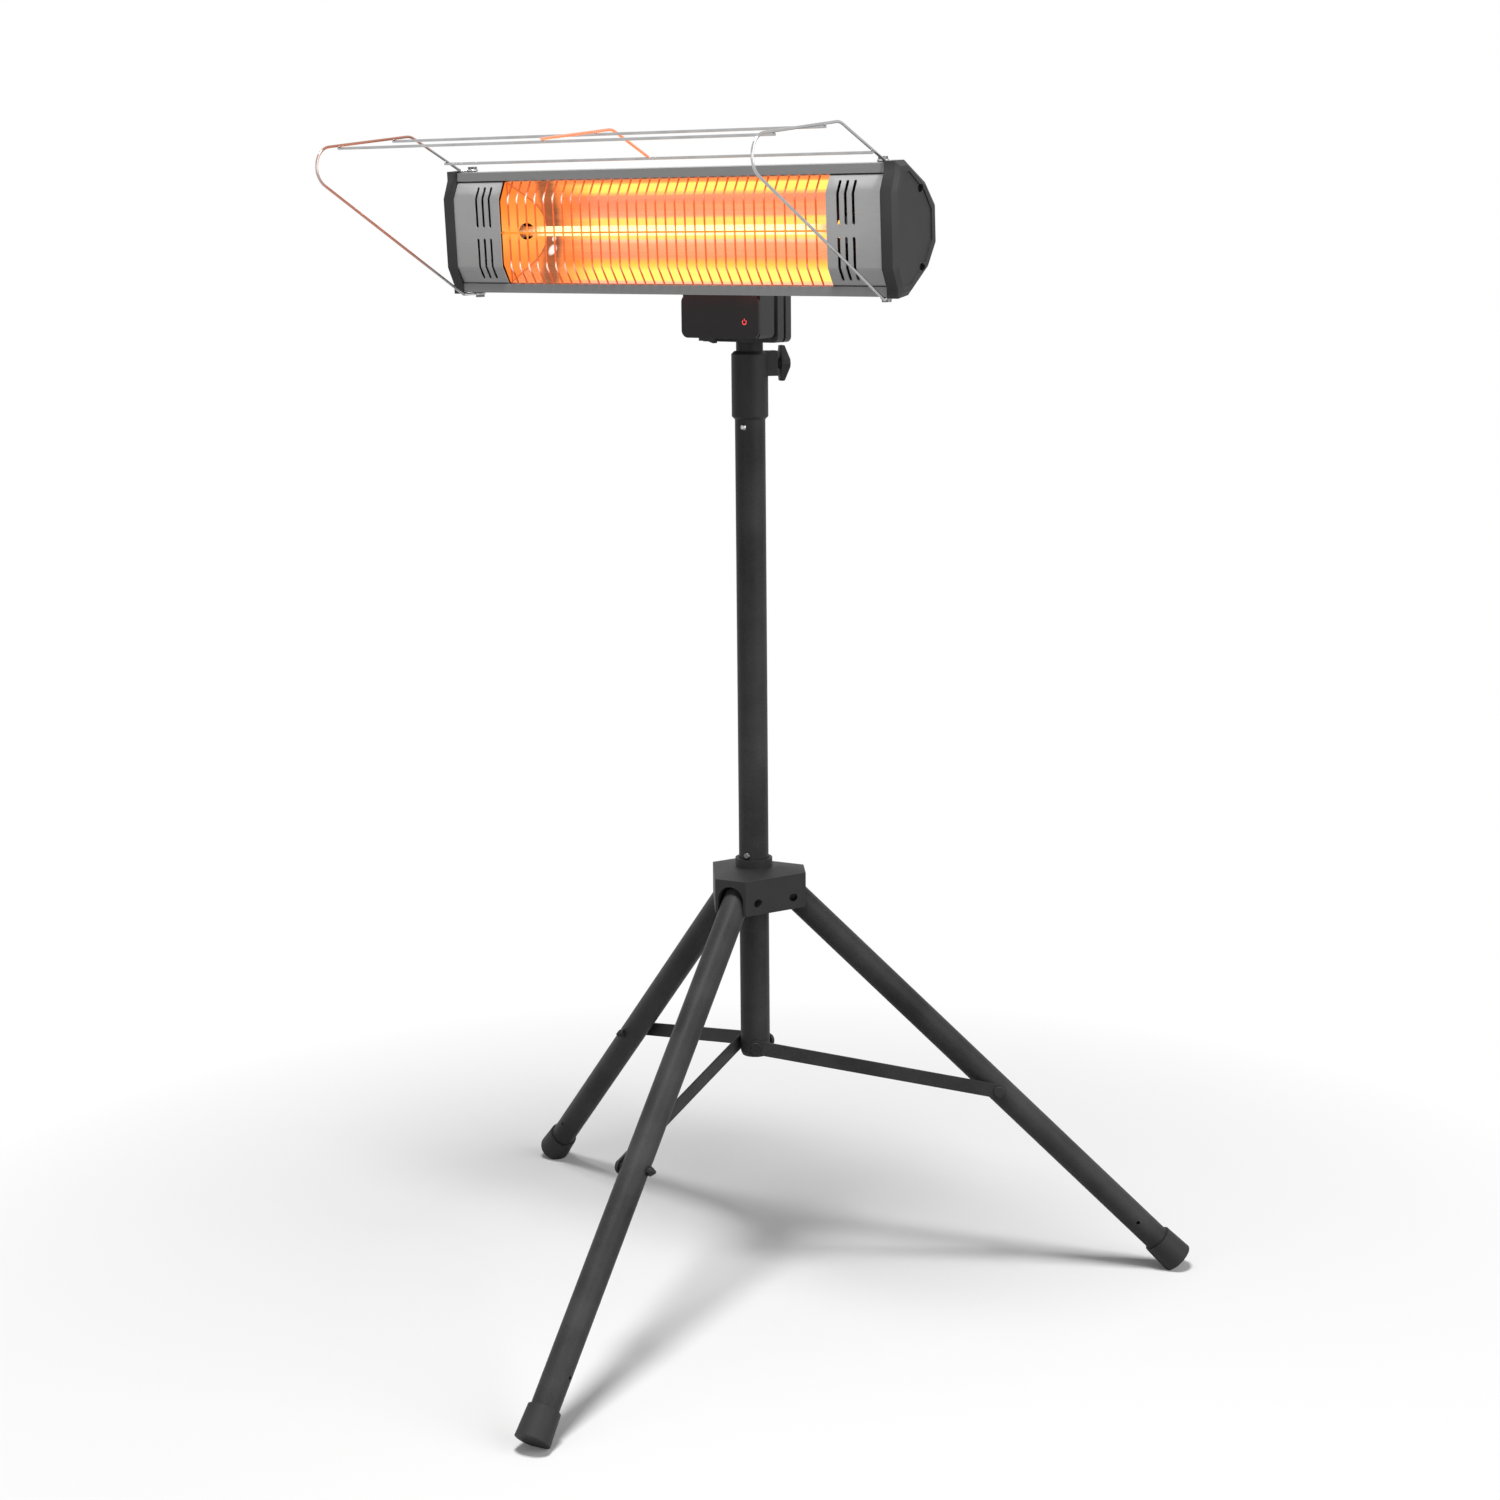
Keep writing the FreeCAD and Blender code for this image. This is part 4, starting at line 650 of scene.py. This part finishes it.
# %% Wind the coil
def hot_winding():
    wire_radius, pitch, steps = 0.7 * MM, 5.4 * MM, 12
    tail_radius, tail_length, tail_overlap, end_room = 0.8 * MM, 20 * MM, 1 * MM, 18 * MM
    low, high = (Vector(corner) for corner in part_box("filament"))
    reach = (high.x - low.x) / 2 - end_room
    coil_radius = (high.z - low.z) / 2 - wire_radius
    turns = int(2 * reach / pitch)
    half_coil = turns * pitch / 2
    bm = bmesh.new()
    start = Matrix.Translation(lamp_axis + Vector((-half_coil, 0, coil_radius)))
    ring = bmesh.ops.create_circle(bm, segments=7, radius=wire_radius,
                                   matrix=start @ Matrix.Rotation(math.pi / 2, 4, "X"))
    edges = list({edge for vert in ring["verts"] for edge in vert.link_edges})
    bmesh.ops.spin(bm, geom=ring["verts"] + edges, cent=lamp_axis, axis=(1, 0, 0),
                   angle=turns * 2 * math.pi, dvec=(pitch / steps, 0, 0), steps=turns * steps)
    for side in (-1, 1):
        along = side * (half_coil + tail_length / 2 - tail_overlap)
        tail = Matrix.Translation(lamp_axis + Vector((along, 0, 0)))
        bmesh.ops.create_cone(bm, cap_ends=True, segments=8, radius1=tail_radius, radius2=tail_radius,
                              depth=tail_length, matrix=tail @ Matrix.Rotation(math.pi / 2, 4, "Y"))
    bmesh.ops.holes_fill(bm, edges=bm.edges)
    bmesh.ops.recalc_face_normals(bm, faces=bm.faces)
    add_piece("filament_coil", mesh_from(bm, "filament_coil"), "heater", "hot_wire", ("filament",))
    return turns


print("coil turns", hot_winding())


# %% [markdown]
# ## The power symbol
# A broken ring and a short bar light up on the panel. The ring is a small rectangle spun through most of
# a turn, so its ends stay open at the top, and the bar is a block that stands in the gap.

# %% Light the power symbol
def symbol_light():
    paint = Paint("symbol_light", Base_Color=(0.5, 0.01, 0.01, 1), Roughness=0.4, Emission_Strength=1.5)
    glow = paint.noise(paint.place(), 900.0, 1.0)
    paint.feed("Emission Color", paint.ramp(glow, [(0.3, (1.0, 0.03, 0.04)), (0.7, (1.0, 0.09, 0.10))]))
    return paint.material


finishes["symbol_light"] = symbol_light()


def power_symbol():
    centre = middle("power_light")
    centre.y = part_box("front_panel")[0][1]
    ring_radius, stroke, rise, bar_length = 2.4 * MM, 0.7 * MM, 0.12 * MM, 2.2 * MM
    gap = math.radians(90)
    bm = bmesh.new()
    box = bmesh.ops.create_cube(bm, size=1.0)["verts"]
    bmesh.ops.scale(bm, vec=(stroke, 2 * rise, bar_length), verts=box)
    bmesh.ops.translate(bm, vec=centre + Vector((0, 0, ring_radius)), verts=box)
    plane = bmesh.ops.create_grid(bm, x_segments=1, y_segments=1, size=0.5)["verts"]
    bmesh.ops.scale(bm, vec=(stroke, 2 * rise, 1), verts=plane)
    bmesh.ops.translate(bm, vec=centre + Vector((ring_radius, 0, 0)), verts=plane)
    faces = [face for face in bm.faces if all(vert in plane for vert in face.verts)]
    start = Matrix.Rotation(gap / 2 - math.pi / 2, 3, "Y")
    bmesh.ops.rotate(bm, cent=centre, matrix=start, verts=plane)
    bmesh.ops.spin(bm, geom=faces, cent=centre, axis=(0, 1, 0), angle=2 * math.pi - gap, steps=40)
    bmesh.ops.recalc_face_normals(bm, faces=bm.faces)
    mesh = mesh_from(bm, "power_symbol")
    add_piece("power_symbol", mesh, "pole", "red_lens", finish="symbol_light")
    return len(mesh.polygons)


print("symbol faces", power_symbol())


# %% [markdown]
# ## Finishes on the nodes that stay
# The wires, the reflector, the lamp and the small hidden pieces have the right shape already. They keep
# their meshes and only get their finish, in the material slots that the frame gave them.

# %% Assign the remaining finishes
for node, thing in frame["nodes"].items():
    for index in range(len(thing.material_slots)):
        thing.material_slots[index].material = finishes[own_finish.get(node, slot_of[node])]
print("nodes finished", len(frame["nodes"]))


# %% [markdown]
# ## The floor
# A product picture stands on pale paper. Near the object the floor is matt and keeps the soft shadow, with
# a little light of its own added, and further out it fades to plain white, so that no horizon shows. Only
# the eye sees it so, straight or by way of a mirror or a glass. For all other light it is a dull grey, so
# that it doesn't brighten the undersides.

# %% Floor
def seen_by_eye(shading):
    """1 for a ray from the camera, a mirror or a glass, 0 for light on its way to a dull surface."""
    rays = shading.node("ShaderNodeLightPath").socket.node
    kinds = [Wire(shading, rays.outputs[name]) for name in
             ("Is Camera Ray", "Is Glossy Ray", "Is Transmission Ray")]
    return kinds[0] + kinds[1] + kinds[2] > 0.5


fade_reach = 2.0


def pale_floor():
    paint = Paint("pale_floor", Base_Color=(*grey(0.76), 1), Roughness=0.9, Specular_IOR_Level=0.0)
    paper = Wire(paint, paint.shader.outputs[0])
    lift = paint.node("ShaderNodeEmission", None, {"Color": (*white, 1), "Strength": 0.03})
    lifted = paint.node("ShaderNodeAddShader", None, {0: paper, 1: lift})
    where = paint.node("ShaderNodeTexCoord", output="Object")
    away = paint.node("ShaderNodeVectorMath", {"operation": "LENGTH"}, {0: where}, 1)
    fade = paint.ramp(away * (1 / fade_reach), [(0.23, black), (0.54, white)])
    horizon = paint.node("ShaderNodeEmission", None, {"Color": (*white, 1), "Strength": 1.0})
    sweep = paint.node("ShaderNodeMixShader", None, {0: fade, 1: lifted, 2: horizon})
    dull = paint.node("ShaderNodeBsdfDiffuse", None, {"Color": (*grey(0.35), 1)})
    shader = paint.node("ShaderNodeMixShader", None, {0: seen_by_eye(paint), 1: dull, 2: sweep})
    paint.surface("Material Output", shader)
    return paint.material


def stage_floor(half_size):
    bm = bmesh.new()
    bmesh.ops.create_grid(bm, x_segments=2, y_segments=2, size=half_size)
    mesh = mesh_from(bm, "floor")
    mesh.materials.append(pale_floor())
    floor = bpy.data.objects.new("floor", mesh)
    bpy.context.collection.objects.link(floor)
    return floor.name


print("stage", stage_floor(14.0))


# %% [markdown]
# ## Room and lamps
# The room is white to the eye and in the chrome, but gives the dull surfaces only a little light, so the
# lamps decide the shading: a soft one overhead for the shadow, a large one at the side for the end cap, and
# a weak one in front, so that the heater's face isn't black.

# %% Light the stage
def white_room():
    world = bpy.data.worlds.new("white_room")
    world.use_nodes = True
    bpy.context.scene.world = world
    shading = Shading(world.node_tree)
    fill, paper = (shading.node("ShaderNodeBackground", None, {"Color": (*white, 1), "Strength": strength})
                   for strength in (0.15, 1.0))
    shader = shading.node("ShaderNodeMixShader", None, {0: seen_by_eye(shading), 1: fill, 2: paper})
    shading.surface("World Output", shader)


def soft_lamp(name, place, aim, size, watts):
    data = bpy.data.lights.new(name, "AREA")
    data.shape = "DISK"
    data.size = size
    data.energy = watts
    lamp = bpy.data.objects.new(name, data)
    lamp.location = place
    lamp.rotation_euler = (Vector(aim) - Vector(place)).to_track_quat("-Z", "Y").to_euler()
    bpy.context.collection.objects.link(lamp)


white_room()
soft_lamp("overhead", place=(0.45, -0.85, 3.6), aim=(0, 0, 0.4), size=0.9, watts=120)
soft_lamp("side", place=(3.6, 0.0, 1.9), aim=(0, 0, 0.9), size=3.4, watts=84)
soft_lamp("front", place=(-0.6, -4.4, 1.4), aim=(0, 0, 1.0), size=2.4, watts=23)
bpy.context.scene.view_settings.view_transform = "Standard"
print("lamps", [light.name for light in bpy.data.lights])


# %% [markdown]
